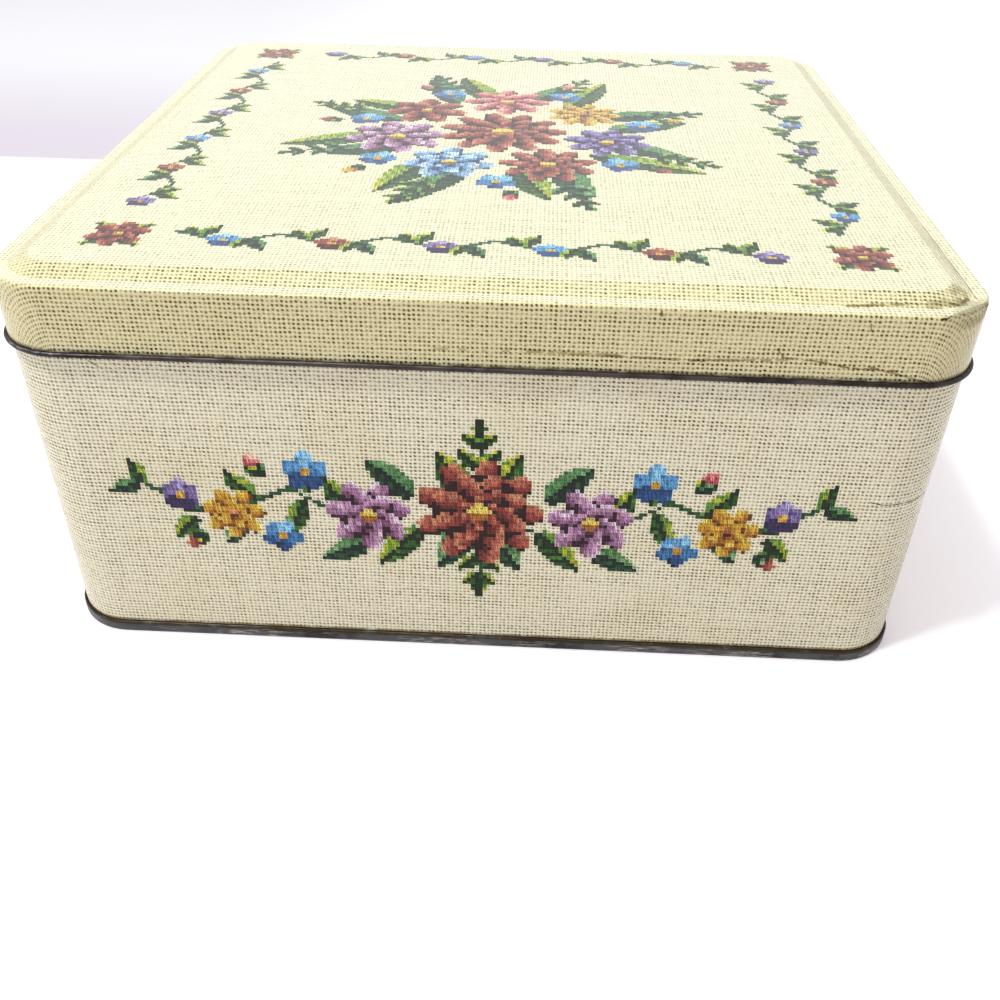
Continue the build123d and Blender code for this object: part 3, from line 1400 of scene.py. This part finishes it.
LID_PRINT = PrintFinish(
    name="lid_print",
    ground="e2d7aa",
    hole="624e18",
    hole_size=(0.29, 0.23),
    strength=0.94,
    varnish=(94.3, 95.2),
    deep=(81.8, 84.6),
    stretched=0.30,
    # The band at the skirt's foot is painted shade in the groove above the curl.
    dirt_and_shade=(GrimeAndShade(79.9, 80.4, 81.6, 0.9, 0.28),),
    marks=(
        Mark((-9.5, -105.5, 84.5), (6.0, -105.5, 84.4), 0.40, 0.45, 0.42),
        Mark((10.0, -105.5, 84.6), (29.0, -105.5, 84.2), 0.55, 0.65, 0.36),
        Mark((26.0, -105.5, 84.2), (46.5, -105.5, 83.8), 0.40, 0.65, 0.38),
        Mark((44.0, -105.5, 83.9), (66.0, -105.5, 84.8), 0.45, 0.70, 0.36),
        Mark((62.0, -105.5, 85.2), (71.5, -105.5, 84.4), 0.35, 0.80, 0.34),
        Mark((70.0, -105.5, 84.4), (77.0, -105.5, 83.2), 0.35, 0.90, 0.34),
        Mark((76.0, -105.5, 83.4), (86.0, -105.5, 83.0), 0.35, 0.85, 0.34),
        Mark((80.0, -105.5, 83.8), (92.0, -105.5, 80.8), 0.35, 0.80, 0.38),
        Mark((60.9, -105.5, 87.0), (62.3, -105.5, 85.4), 0.28, 0.90, 0.25),
        Mark((36.5, -105.5, 94.8), (36.6, -105.5, 93.7), 0.30, 1.00, 0.20),
        Mark((78.4, -105.5, 93.3), (78.7, -105.5, 92.0), 0.24, 0.80, 0.25),
        # From here on the marks are partly grit and wear, partly painted shade: at the knocked front-right
        # corner and along the step's foot.
        Mark((99.0, -98.0, 95.6), (98.2, -95.6, 96.1), 2.8, 0.55, 0.30, 400.0),
        Mark((91.0, -100.8, 95.7), (98.0, -98.8, 95.6), 1.4, 0.45, 0.30, 500.0),
        Mark((99.6, -96.8, 95.5), (98.2, -98.2, 95.6), 0.50, 0.80, 0.25),
        Mark((74.0, -101.9, 95.5), (97.0, -99.8, 95.5), 0.60, 0.85, 0.30),
        Mark((96.0, -103.0, 95.5), (102.6, -98.4, 95.4), 2.4, 0.35, 0.25, 300.0),
        Mark((101.5, -96.0, 95.5), (101.6, -58.0, 95.5), 0.40, 0.70, 0.20, 300.0),
        Mark((101.6, -60.0, 95.5), (101.8, 60.0, 95.5), 0.30, 0.40, 0.25, 300.0),
        # This wide faint stroke is painted shade where the right-hand slope faces away from the light.
        Mark((101.0, -92.0, 95.8), (101.0, -66.0, 95.8), 1.60, 0.16, 0.15, 200.0),
    ),
    chips=(
        Mark((92.2, -105.4, 95.0), (93.5, -105.1, 95.3), 0.55, 1.0, 0.1),
        Mark((103.2, -98.8, 95.1), (104.0, -97.4, 94.9), 0.60, 0.6, 0.2),
    ),
    knock=Knock((0.592, -0.806), reach=139.7, floor=91.6, span=3.6, slope=0.9),
)
WALL_PRINT = PrintFinish(
    name="wall_print",
    # The wall's ground is paler and greyer than the lid's: partly the print's own colour, partly painted
    # light reflected from the white table.
    ground="eee6cb",
    soil_and_shade="b08e46",
    hole="5c5230",
    hole_size=(0.31, 0.20),
    strength=0.9,
    dirt_and_shade=(GrimeAndShade(3.0, 3.4, 4.1, 0.9, 0.30),),
    marks=(Mark((-83.6, -105.0, 78.3), (-81.7, -105.0, 77.0), 0.22, 0.9, 0.25),),
    chips=(
        Mark((88.4, -105.0, 49.2), (91.0, -105.0, 48.6), 0.18, 0.95, 0.25),
        *round_corner(14.56, -88, -36, 48.6, 4, 0.21, 1.0, 0.25),
    ),
)
INSIDE_TIN = TinFinish("inside_tin", metal="c9c5ba", tarnish="8f897c", tarnished=0.25, roughness=0.30)
CURL_TIN = TinFinish(
    "curl_tin", metal="463d3d", tarnish="26201e", tarnished=0.5, roughness=0.40,
    metallic=0.8, scratches=0.12, bright="8c8893",
    # These bright marks along the curl at the front-left corner are a painted highlight.
    rub_and_highlight=(
        *round_corner(15.72, 225, 270, 80.3, 3, 0.20, 0.75, 0.2),
        Mark((-90.5, -106.2, 80.3), (-80.0, -106.2, 80.3), 0.14, 0.5, 0.30),
    ),
)
SEAM_TIN = TinFinish(
    "seam_tin", metal="aeaaa0", tarnish="7c776c", tarnished=0.4, roughness=0.38,
    metallic=0.85, scratches=0.7,
    # The band at the seam's top is grit and painted shade in the groove against the wall.
    dirt_and_shade=(GrimeAndShade(1.7, 2.8, 4.6, 0.95, 0.22),),
    rim=Rim(centre=CORNER_CENTRE, radius=14.3, metal="505150", tarnish="2e2f2d"),
)


@dataclass
class BoxForm:
    """The sizes that the pieces share, in metres.

    Attributes:
        wall: Distance of the wall's outer face from the middle.
        corner: Radius of the wall's outer corners.
        sheet: Thickness of the tinplate.
        coat: Thickness of the printed coat.
        coat_share: How much of that thickness its mesh fills, so that it stops short of the sheet.
        squares: How many squares of canvas run along a straight side.
        corner_steps: How many faces make a rounded corner.
        seam_proud: How far the foot's seam stands out of the wall.
    """

    corner: float = 14.5 * MM
    sheet: float = 0.25 * MM
    coat: float = 0.03 * MM
    coat_share: float = 0.9
    squares: int = 182
    corner_steps: int = 24
    seam_proud: float = 0.81 * MM
    wall: float = field(init=False)

    def __post_init__(self) -> None:
        """Reads the wall's place from the frame."""
        self.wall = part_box("base")[1][0] - self.seam_proud

    @property
    def centre(self) -> float:
        """Distance of the corner centres from the middle, which is half a straight side."""
        return self.wall - self.corner

    @property
    def pitch(self) -> float:
        """Length of a square of the canvas along a straight side."""
        return 2 * self.centre / self.squares

    def outwards(self, points: np.ndarray) -> np.ndarray:
        """Returns how far out of the wall's outer face each point lies."""
        past = np.clip(np.abs(points[:, :2]) - self.centre, 0, None)
        return np.hypot(*past.T) - self.corner


@dataclass
class PrintedLid:
    """The loose lid: a pressed sheet with a printed coat outside and a curl at its foot.

    Attributes:
        form: The sizes shared with the wall.
        skirt_out: How far the middle of the skirt's sheet lies out of the wall.
        ledge_width: Width of the ledge from the step's foot to the skirt's face.
        step_width: Width of the step.
        step_rise: Height of the step.
        step_bend: Radius of the step's bends.
        shoulder_bend: Radius of the shoulder's bend.
        bend_steps: How many faces make a bend of the step, of the shoulder and of the curl.
        curl_radius: Radius of the curl.
        curl_turn: Turn of the curl in degrees.
        curl_reach: Height of the curl's middle above the lid's foot.
    """

    form: BoxForm
    skirt_out: float = 0.375 * MM
    ledge_width: float = 3.6 * MM
    step_width: float = 4.5 * MM
    step_rise: float = 1.9 * MM
    step_bend: float = 0.725 * MM
    shoulder_bend: float = 0.875 * MM
    bend_steps: tuple[int, int, int] = (4, 10, 24)
    curl_radius: float = 0.45 * MM
    curl_turn: float = 292.0
    curl_reach: float = 0.575 * MM

    def draw(self, name: str, shift: float, curled: bool) -> tuple[bpy.types.Object, np.ndarray]:
        """Draws the lid's edge line and runs it round the box.

        Args:
            name: The piece's name.
            shift: How far outside the sheet's middle the line lies.
            curled: Whether the line goes on into the curl.

        Returns:
            The open surface, and the points of its edge line from the corner's middle outwards.
        """
        form = self.form
        low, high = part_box("lid")
        panel_level = high[2] - form.sheet / 2
        step_steps, shoulder_steps, curl_steps = self.bend_steps
        slope = math.degrees(math.atan2(self.step_rise, self.step_width))
        tangent = self.step_bend * math.tan(math.radians(slope / 2))
        step_foot = self.skirt_out + form.sheet / 2 - self.ledge_width
        step_top = step_foot - self.step_width
        ledge = self.skirt_out - step_foot - tangent - self.shoulder_bend
        skirt_top = panel_level - self.step_rise - self.shoulder_bend
        pen = SheetPen(form.centre, panel_level, -form.centre, shift)
        piece = pen.start(name)
        with editing(piece):
            bpy.ops.mesh.select_all(action="SELECT")
            pen.straight(form.corner + step_top - tangent)
            pen.bend(self.step_bend, -slope, step_steps)
            pen.straight(math.hypot(self.step_width, self.step_rise) - 2 * tangent)
            pen.bend(self.step_bend, slope, step_steps)
            pen.straight(ledge)
            pen.bend(self.shoulder_bend, -90, shoulder_steps)
            pen.straight(skirt_top - low[2] - self.curl_reach)
            if curled:
                pen.bend(self.curl_radius, self.curl_turn, curl_steps)
        line = places(piece.data)
        sweep_round(piece, form.centre, form.corner_steps)
        self.close_panel(piece)
        return piece, line - line[0]

    def close_panel(self, piece: bpy.types.Object) -> None:
        """Fills the square that the swept line leaves open and turns the surface outwards.

        Args:
            piece: The piece with the swept line.
        """
        mesh, reach = piece.data, self.form.centre + MM / 100
        inner = (np.abs(places(mesh)[:, :2]) < reach).all(1)
        ends = np.array([edge.vertices[:] for edge in mesh.edges])
        pick(piece, "edges", inner[ends].all(1))
        with editing(piece, "edges"):
            bpy.ops.mesh.edge_face_add()
            bpy.ops.mesh.select_all(action="SELECT")
            bpy.ops.mesh.normals_make_consistent(inside=False)
        turn_out(piece, int(face_values(mesh, "area").argmax()), (0, 0, 1))

    def blank(self, points: np.ndarray, line: np.ndarray) -> np.ndarray:
        """Finds where each point of the lid lay on the flat printed sheet before pressing.

        Args:
            points: Places on the lid.
            line: The edge line, from the corner's middle outwards.

        Returns:
            Two coordinates for each point, in metres from the sheet's middle.
        """
        reach = np.abs(points[:, :2])
        past = np.clip(reach - self.form.centre, 0, None)
        radius = self.form.outwards(points) + self.form.corner
        level = points[:, 2] - points[:, 2].max()
        nearest = np.argmin(np.hypot(radius[:, None] - line[:, 0], level[:, None] - line[:, 2]), axis=1)
        steps = np.hypot(np.diff(line[:, 0]), np.diff(line[:, 2]))
        length = np.r_[0, np.cumsum(steps)]
        middle = (line[1:, 0] + line[:-1, 0]) / 2
        drawn = np.sqrt(np.r_[0, np.cumsum(2 * middle * steps)])
        angle = np.arctan2(past[:, 1], past[:, 0])
        share = np.sin(2 * angle) ** 2
        away = np.where(radius > 0, length[nearest] * (1 - share) + drawn[nearest] * share, 0)
        flat = np.minimum(reach, self.form.centre)
        flat = flat + away[:, None] * np.c_[np.cos(angle), np.sin(angle)]
        return np.sign(points[:, :2]) * flat

    def build_print(self, slots: list[bpy.types.Material]) -> bpy.types.Object:
        """Makes the printed coat, with one face for each square of the panel's chart.

        Args:
            slots: The print, and what shows at its edges and under it.

        Returns:
            The piece.
        """
        form = self.form
        piece, line = self.draw("lid_print", form.sheet / 2, curled=False)
        for material in slots:
            piece.data.materials.append(material)
        finish_modifier(
            piece, "SOLIDIFY", thickness=form.coat_share * form.coat, offset=-1, use_even_offset=True,
            material_offset=1, material_offset_rim=1,
        )
        mesh = piece.data
        outside = face_values(mesh, "material_index") < 0.5
        pick(piece, "polygons", outside & (face_values(mesh, "area") > form.centre**2))
        # 13 times 14 faces are the 182 squares along a side.
        with editing(piece, "polygons"):
            for parts in (13, 14):
                bpy.ops.mesh.subdivide(number_cuts=parts - 1)
        self.map_print(piece, line)
        self.lay_chart(piece)
        return piece

    def map_print(self, piece: bpy.types.Object, line: np.ndarray) -> None:
        """Writes the canvas map and the bake map of the coat.

        Args:
            piece: The coat.
            line: The lid's edge line, from the corner's middle outwards.
        """
        mesh, form = piece.data, self.form
        flat = self.blank(places(mesh), line)[corner_vertices(mesh)]
        write_map(mesh, CELL_MAP, (flat + form.centre) / form.pitch)
        half = np.abs(flat).max() * 1.01
        square = flat / (2 * half) + 0.5
        # The underside is shrunk into the corner that the sheet's rounded outline leaves free.
        under = per_corner(mesh, face_values(mesh, "material_index") > 0.5)
        write_map(mesh, BAKE_MAP, np.where(under[:, None], 0.004 + 0.02 * square, square))

    def lay_chart(self, piece: bpy.types.Object) -> None:
        """Colours the stitched squares of the panel.

        Args:
            piece: The coat.
        """
        chart = lid_chart(self.form.squares)
        mesh, form = piece.data, self.form
        centres = face_values(mesh, "center", 3)
        small = face_values(mesh, "area") < 2 * form.pitch**2
        inside = (np.abs(centres[:, :2]) < form.centre).all(1) & small
        colour_faces(mesh, chart, (centres[:, :2] + form.centre) / form.pitch, inside)

    def build(self) -> list[bpy.types.Object]:
        """Makes the coat and the sheet under it.

        Returns:
            The two pieces.
        """
        form = self.form
        tin, curl = INSIDE_TIN.material(), CURL_TIN.material()
        coat = self.build_print([LID_PRINT.material(), tin])
        sheet, _ = self.draw("lid_sheet", form.sheet / 2 - form.coat, curled=True)
        for material in (tin, curl):
            sheet.data.materials.append(material)
        finish_modifier(
            sheet, "SOLIDIFY", thickness=form.sheet - form.coat, offset=-1, use_even_offset=True
        )
        self.darken_curl(sheet)
        for piece in (coat, sheet):
            smooth(piece)
            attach(piece, "lid")
            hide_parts("lid")
        return [coat, sheet]

    def darken_curl(self, sheet: bpy.types.Object) -> None:
        """Gives the curl at the foot its own finish.

        Args:
            sheet: The sheet, whose second slot holds that finish.
        """
        mesh, form = sheet.data, self.form
        centres = face_values(mesh, "center", 3)
        out = form.outwards(centres) - self.skirt_out - self.curl_radius
        up = centres[:, 2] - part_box("lid")[0][2] - self.curl_reach
        pick(sheet, "polygons", np.hypot(out, up) < self.curl_reach + MM / 50)
        with editing(sheet, "polygons"):
            sheet.active_material_index = 1
            bpy.ops.object.material_slot_assign()


def colour_faces(mesh: bpy.types.Mesh, chart: StitchChart, cells: np.ndarray, wanted: np.ndarray) -> None:
    """Writes a chart's thread colours onto the faces that stand for its squares.

    Args:
        mesh: The mesh.
        chart: The chart.
        cells: Column and row of each face, with fractions.
        wanted: Which faces stand for a square.
    """
    column = np.clip(cells[:, 0].astype(int), 0, chart.columns - 1)
    row = np.clip(cells[:, 1].astype(int), 0, chart.rows - 1)
    corners = per_corner(mesh, np.where(wanted[:, None], chart.cells[row, column], 0.0))
    layer = mesh.color_attributes.new(STITCH_LAYER, "FLOAT_COLOR", "CORNER")
    layer.data.foreach_set("color", np.ascontiguousarray(corners, np.float32).ravel())


def smooth(piece: bpy.types.Object) -> None:
    """Shades the bends smoothly and keeps the flats flat.

    Args:
        piece: The mesh object.
    """
    take(piece)
    bpy.ops.object.shade_smooth_by_angle(angle=math.radians(40))
    finish_modifier(piece, "WEIGHTED_NORMAL", keep_sharp=True, weight=80)


@dataclass
class PrintedWall:
    """The wall: the frame's sheet dressed as bare tin, and a printed coat on its outside.

    Attributes:
        form: The sizes shared with the lid.
        seam_top: Height of the foot's seam, where the print begins.
        rows: How many squares of canvas run up the wall.
        mouth_curl: Depth of the curl at the mouth, where the print ends half way.
        lap_place: Distance of the lock seam from the middle of the back.
        lap_gap: Width of the line that shows there.
    """

    form: BoxForm
    seam_top: float = 3.22 * MM
    rows: int = 92
    mouth_curl: float = 2.0 * MM
    lap_place: float = 72.0 * MM
    lap_gap: float = 0.3 * MM

    @property
    def top(self) -> float:
        """Height at which the print ends."""
        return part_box("body_wall")[1][2] - self.mouth_curl / 2

    @property
    def square(self) -> tuple[float, float]:
        """Width and height of a square of the canvas."""
        return self.form.pitch, (self.top - self.seam_top) / self.rows

    def side_sheet(self, name: str) -> bpy.types.Object:
        """Makes the open surface of the front and of the corner at its right.

        Args:
            name: The piece's name.

        Returns:
            The piece.
        """
        form = self.form
        face = -form.wall - form.coat
        bpy.ops.object.select_all(action="DESELECT")
        bpy.ops.mesh.primitive_grid_add(x_subdivisions=form.squares, y_subdivisions=self.rows, size=1)
        piece = bpy.context.object
        piece.name = piece.data.name = name
        with editing(piece):
            bpy.ops.mesh.select_all(action="SELECT")
            bpy.ops.transform.resize(value=(2 * form.centre, self.top - self.seam_top, 1))
        piece.rotation_euler = Euler((math.pi / 2, 0, 0))
        piece.location = (0, face, (self.top + self.seam_top) / 2)
        settle(piece)
        pick(piece, "vertices", places(piece.data)[:, 0] > form.centre - MM / 100)
        with editing(piece):
            bpy.ops.mesh.spin(
                steps=form.corner_steps, angle=math.pi / 2,
                center=(form.centre, -form.centre, 0), axis=(0, 0, -1),
            )
            bpy.ops.mesh.select_all(action="SELECT")
            bpy.ops.mesh.normals_make_consistent(inside=False)
        turn_out(piece, 0, (0, -1, 0))
        return piece

    def cut_lap(self, piece: bpy.types.Object) -> None:
        """Opens the coat over the lock seam's line, before it is turned to the back.

        Args:
            piece: The coat.
        """
        for edge in (-self.lap_gap / 2, self.lap_gap / 2):
            with editing(piece):
                bpy.ops.mesh.select_all(action="SELECT")
                bpy.ops.mesh.bisect(plane_co=(edge - self.lap_place, 0, 0), plane_no=(1, 0, 0))
        away = face_values(piece.data, "center", 3)[:, 0] + self.lap_place
        pick(piece, "polygons", np.abs(away) < self.lap_gap / 2)
        with editing(piece, "polygons"):
            bpy.ops.mesh.delete(type="FACE")

    def map_print(self, piece: bpy.types.Object) -> None:
        """Writes the canvas map and the bake map of a front coat.

        Args:
            piece: The coat.
        """
        mesh, form = piece.data, self.form
        points = places(mesh)
        turn = np.arctan2(points[:, 0] - form.centre, -form.centre - points[:, 1])
        round_it = form.centre + turn * form.corner
        along = np.where(points[:, 0] > form.centre, round_it, points[:, 0]) + form.centre
        up = points[:, 2] - self.seam_top
        flat = np.c_[along, up][corner_vertices(mesh)]
        write_map(mesh, CELL_MAP, flat / self.square)
        # The underside lies over the outside on the bake map.
        under = per_corner(mesh, face_values(mesh, "material_index") > 0.5)
        lift = np.where(under, 0.5, 0.0)[:, None] * (0, 1)
        write_map(mesh, BAKE_MAP, 0.01 + flat * (0.98 / along.max()) + lift)

    def build_side(self, side: Side, slots: list[bpy.types.Material]) -> bpy.types.Object:
        """Makes one side's coat.

        Args:
            side: Which side it is.
            slots: The print, and what shows at its edges.

        Returns:
            The piece.
        """
        form = self.form
        piece = self.side_sheet(f"wall_print_{side.name.lower()}")
        if side is Side.BACK:
            self.cut_lap(piece)
        for material in slots:
            piece.data.materials.append(material)
        finish_modifier(
            piece, "SOLIDIFY", thickness=form.coat_share * form.coat, offset=-1,
            material_offset=1, material_offset_rim=1,
        )
        self.map_print(piece)
        centres = face_values(piece.data, "center", 3)
        cells = (centres[:, [0, 2]] + (form.centre, -self.seam_top)) / self.square
        colours = {
            Side.FRONT: (Thread.RUST, Thread.MAUVE),
            Side.RIGHT: (Thread.MAUVE, Thread.PALE_BLUE),
            Side.BACK: (Thread.PALE_BLUE, Thread.RUST),
            Side.LEFT: (Thread.VIOLET, Thread.RUST),
        }
        chart = wall_chart(form.squares, self.rows, *colours[side])
        colour_faces(piece.data, chart, cells, centres[:, 0] < form.centre)
        piece.rotation_euler = Euler((0, 0, math.radians(side.value)))
        settle(piece)
        smooth(piece)
        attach(piece, "box")
        return piece

    def build(self) -> list[bpy.types.Object]:
        """Makes the coats and dresses the sheet.

        Returns:
            The four coats and the sheet.
        """
        tin = INSIDE_TIN.material()
        slots = [WALL_PRINT.material(), tin]
        coats = [self.build_side(side, slots) for side in Side]
        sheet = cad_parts["body_wall"]
        dress(sheet, tin)
        return [*coats, sheet]


def dress(node: bpy.types.Object, material: bpy.types.Material) -> None:
    """Puts a material on every slot of a frame node.

    Args:
        node: The node.
        material: The material.
    """
    if not node.material_slots:
        node.data.materials.append(None)
    for place in node.material_slots:
        place.link = "OBJECT"
        place.material = material


@dataclass
class SeamedBase:
    """The base with the double seam that shows as the dark band at the foot.

    Attributes:
        form: The sizes shared with the other pieces.
    """

    form: BoxForm

    def build(self) -> list[bpy.types.Object]:
        """Dresses the frame's base.

        Returns:
            The base.
        """
        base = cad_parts["base"]
        dress(base, SEAM_TIN.material())
        return [base]


@dataclass(frozen=True)
class Softbox:
    """A soft lamp.

    Attributes:
        name: Its name.
        place: Its place in metres.
        size: Its width and height in metres.
        power: Its power in watts.
        tint: The colour of its light.
    """

    name: str
    place: tuple[float, float, float]
    size: tuple[float, float]
    power: float
    tint: tuple[float, float, float] = (1.0, 1.0, 1.0)


@dataclass
class Studio:
    """The table, the soft lamps and the camera.

    Attributes:
        lens_place: Where the camera stands.
        yaw: Its turn about the vertical in degrees.
        pitch: How far it looks down in degrees.
        roll: Its tilt about its own axis in degrees.
        focal: Its focal length in pixels of a picture 1000 pixels wide.
        sensor: Width of its sensor in millimetres.
        ambient: Strength of the light from all round.
        glow: How much brighter the camera sees the table than it is lit.
        table_size: Width and depth of the table.
        cloth: Colour of the table.
        table_edge: How far behind the box's middle the table ends.
        beyond: Colours of what lies behind the table's end, near and far.
        fade: Where that sets in and where it is complete, along X.
        aim: Where the lamps point.
        lamps: The soft lamps.
    """

    lens_place: tuple[float, float, float] = (11.347 * MM, -296.037 * MM, 186.326 * MM)
    yaw: float = -1.968
    pitch: float = 36.323
    roll: float = -1.111
    focal: float = 1033.879
    sensor: float = 36.0
    ambient: float = 0.60
    glow: float = 0.30
    table_size: float = 8.0
    cloth: str = "f3ecf2"
    table_edge: float = 0.252
    beyond: tuple[str, str] = ("c4bac5", "d9d6dc")
    fade: tuple[float, float] = (0.1, -0.25)
    aim: tuple[float, float, float] = (0.0, 0.0, 0.05)
    lamps: tuple[Softbox, ...] = (
        Softbox("key_softbox", (-0.364, -0.316, 1.088), (0.10, 0.10), 7.2, (0.93, 1.0, 0.98)),
        Softbox("top_softbox", (-0.05, 0.28, 1.20), (1.0, 1.0), 5.6, (0.87, 1.0, 0.99)),
        Softbox("window_softbox", (0.0, 1.2, 0.52), (2.2, 0.7), 1.5, (0.98, 1.0, 0.98)),
    )

    def place_camera(self) -> None:
        """Sets the camera at the photograph's viewing angle."""
        cos_yaw, sin_yaw = heading(self.yaw)
        cos_pitch, sin_pitch = heading(self.pitch)
        cos_roll, sin_roll = heading(self.roll)
        forward = Vector((sin_yaw * cos_pitch, cos_yaw * cos_pitch, -sin_pitch))
        level = Vector((cos_yaw, -sin_yaw, 0))
        down = forward.cross(level)
        right = cos_roll * level + sin_roll * down
        lower = cos_roll * down - sin_roll * level
        axes = Matrix((right, -lower, -forward)).transposed()
        bpy.ops.object.select_all(action="DESELECT")
        bpy.ops.object.camera_add(location=self.lens_place)
        camera = bpy.context.object
        camera.rotation_euler = axes.to_euler()
        camera.data.sensor_width = self.sensor
        camera.data.lens = self.sensor * self.focal / 1000
        camera.data.clip_start = 0.01
        bpy.context.scene.camera = camera

    def lay_table(self) -> None:
        """Makes the white table, which fills the background and keeps the shadow."""
        bpy.ops.object.select_all(action="DESELECT")
        bpy.ops.mesh.primitive_plane_add(size=self.table_size, location=(0, 0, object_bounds()[0][2]))
        table = bpy.context.object
        table.name = "table"
        material, graph = start_material("table_white")
        x, y, _ = graph.parts(graph.add("TexCoord").outputs["Object"])
        share = graph.ramp(y, self.table_edge, self.table_edge + 2 * MM)
        share = graph.product(share, graph.ramp(x, *self.fade))
        near, far = (linear_colour(code) for code in self.beyond)
        behind = graph.mixed(graph.ramp(y, self.table_edge, 0.5), near, far)
        colour = graph.mixed(share, linear_colour(self.cloth), behind)
        diffuse = graph.add("BsdfDiffuse", {"Color": colour})
        glow = graph.add("Emission", {"Color": colour, "Strength": self.glow})
        lit = graph.add("AddShader", {0: diffuse.outputs[0], 1: glow.outputs[0]})
        both = graph.add("MixShader", {0: self.seen(graph), 1: diffuse.outputs[0], 2: lit.outputs[0]})
        graph.show(both)
        table.data.materials.append(material)
        table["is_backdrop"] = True

    @staticmethod
    def seen(graph: Graph) -> Socket:
        """Tells what the camera sees from what only lights the scene.

        Args:
            graph: The graph to work in.

        Returns:
            1 for what it sees, straight, mirrored or through glass, and 0 otherwise.
        """
        path = graph.add("LightPath").outputs
        direct = graph.math("MAXIMUM", path["Is Camera Ray"], path["Is Glossy Ray"])
        return graph.math("MAXIMUM", direct, path["Is Transmission Ray"])

    def hang_lamp(self, lamp: Softbox) -> None:
        """Hangs a soft lamp that faces the box.

        Args:
            lamp: The lamp.
        """
        bpy.ops.object.select_all(action="DESELECT")
        bpy.ops.object.light_add(type="AREA", location=lamp.place)
        light = bpy.context.object
        light.name = light.data.name = lamp.name
        light.data.shape = "RECTANGLE"
        light.data.size, light.data.size_y = lamp.size
        light.data.energy = lamp.power
        light.data.color = lamp.tint
        way = Vector(self.aim) - Vector(lamp.place)
        light.rotation_euler = way.to_track_quat("-Z", "Y").to_euler()

    def light_room(self) -> None:
        """Fills the room with soft light and hangs the lamps."""
        world = bpy.data.worlds.new("room")
        bpy.context.scene.world = world
        world.use_nodes = True
        graph = Graph(world.node_tree)
        across = graph.parts(graph.add("TexCoord").outputs["Generated"])[0]
        fill = graph.ramp(across, -0.8, 0.8, 1.12 * self.ambient, 0.68 * self.ambient)
        room = graph.add("Background", {"Color": (1, 0.98, 0.95, 1), "Strength": fill})
        wall = graph.add("Background", {"Color": (0.98, 0.99, 1, 1), "Strength": 1.0})
        both = graph.add("MixShader", {0: self.seen(graph), 1: room.outputs[0], 2: wall.outputs[0]})
        graph.show(both, "OutputWorld")
        for lamp in self.lamps:
            self.hang_lamp(lamp)

    def build(self) -> None:
        """Sets up the camera, the table, the lamps and the colour handling."""
        self.lay_table()
        self.place_camera()
        self.light_room()
        bpy.context.scene.view_settings.view_transform = "Standard"


def main() -> None:
    """Builds the box and its studio."""
    logging.basicConfig(level=logging.INFO, format="%(name)s: %(message)s")
    form = BoxForm()
    for part in (PrintedLid(form), PrintedWall(form), SeamedBase(form)):
        for piece in part.build():
            log.info("%s: %d faces", piece.name, len(piece.data.polygons))
    Studio().build()


if __name__ == "__main__":
    main()
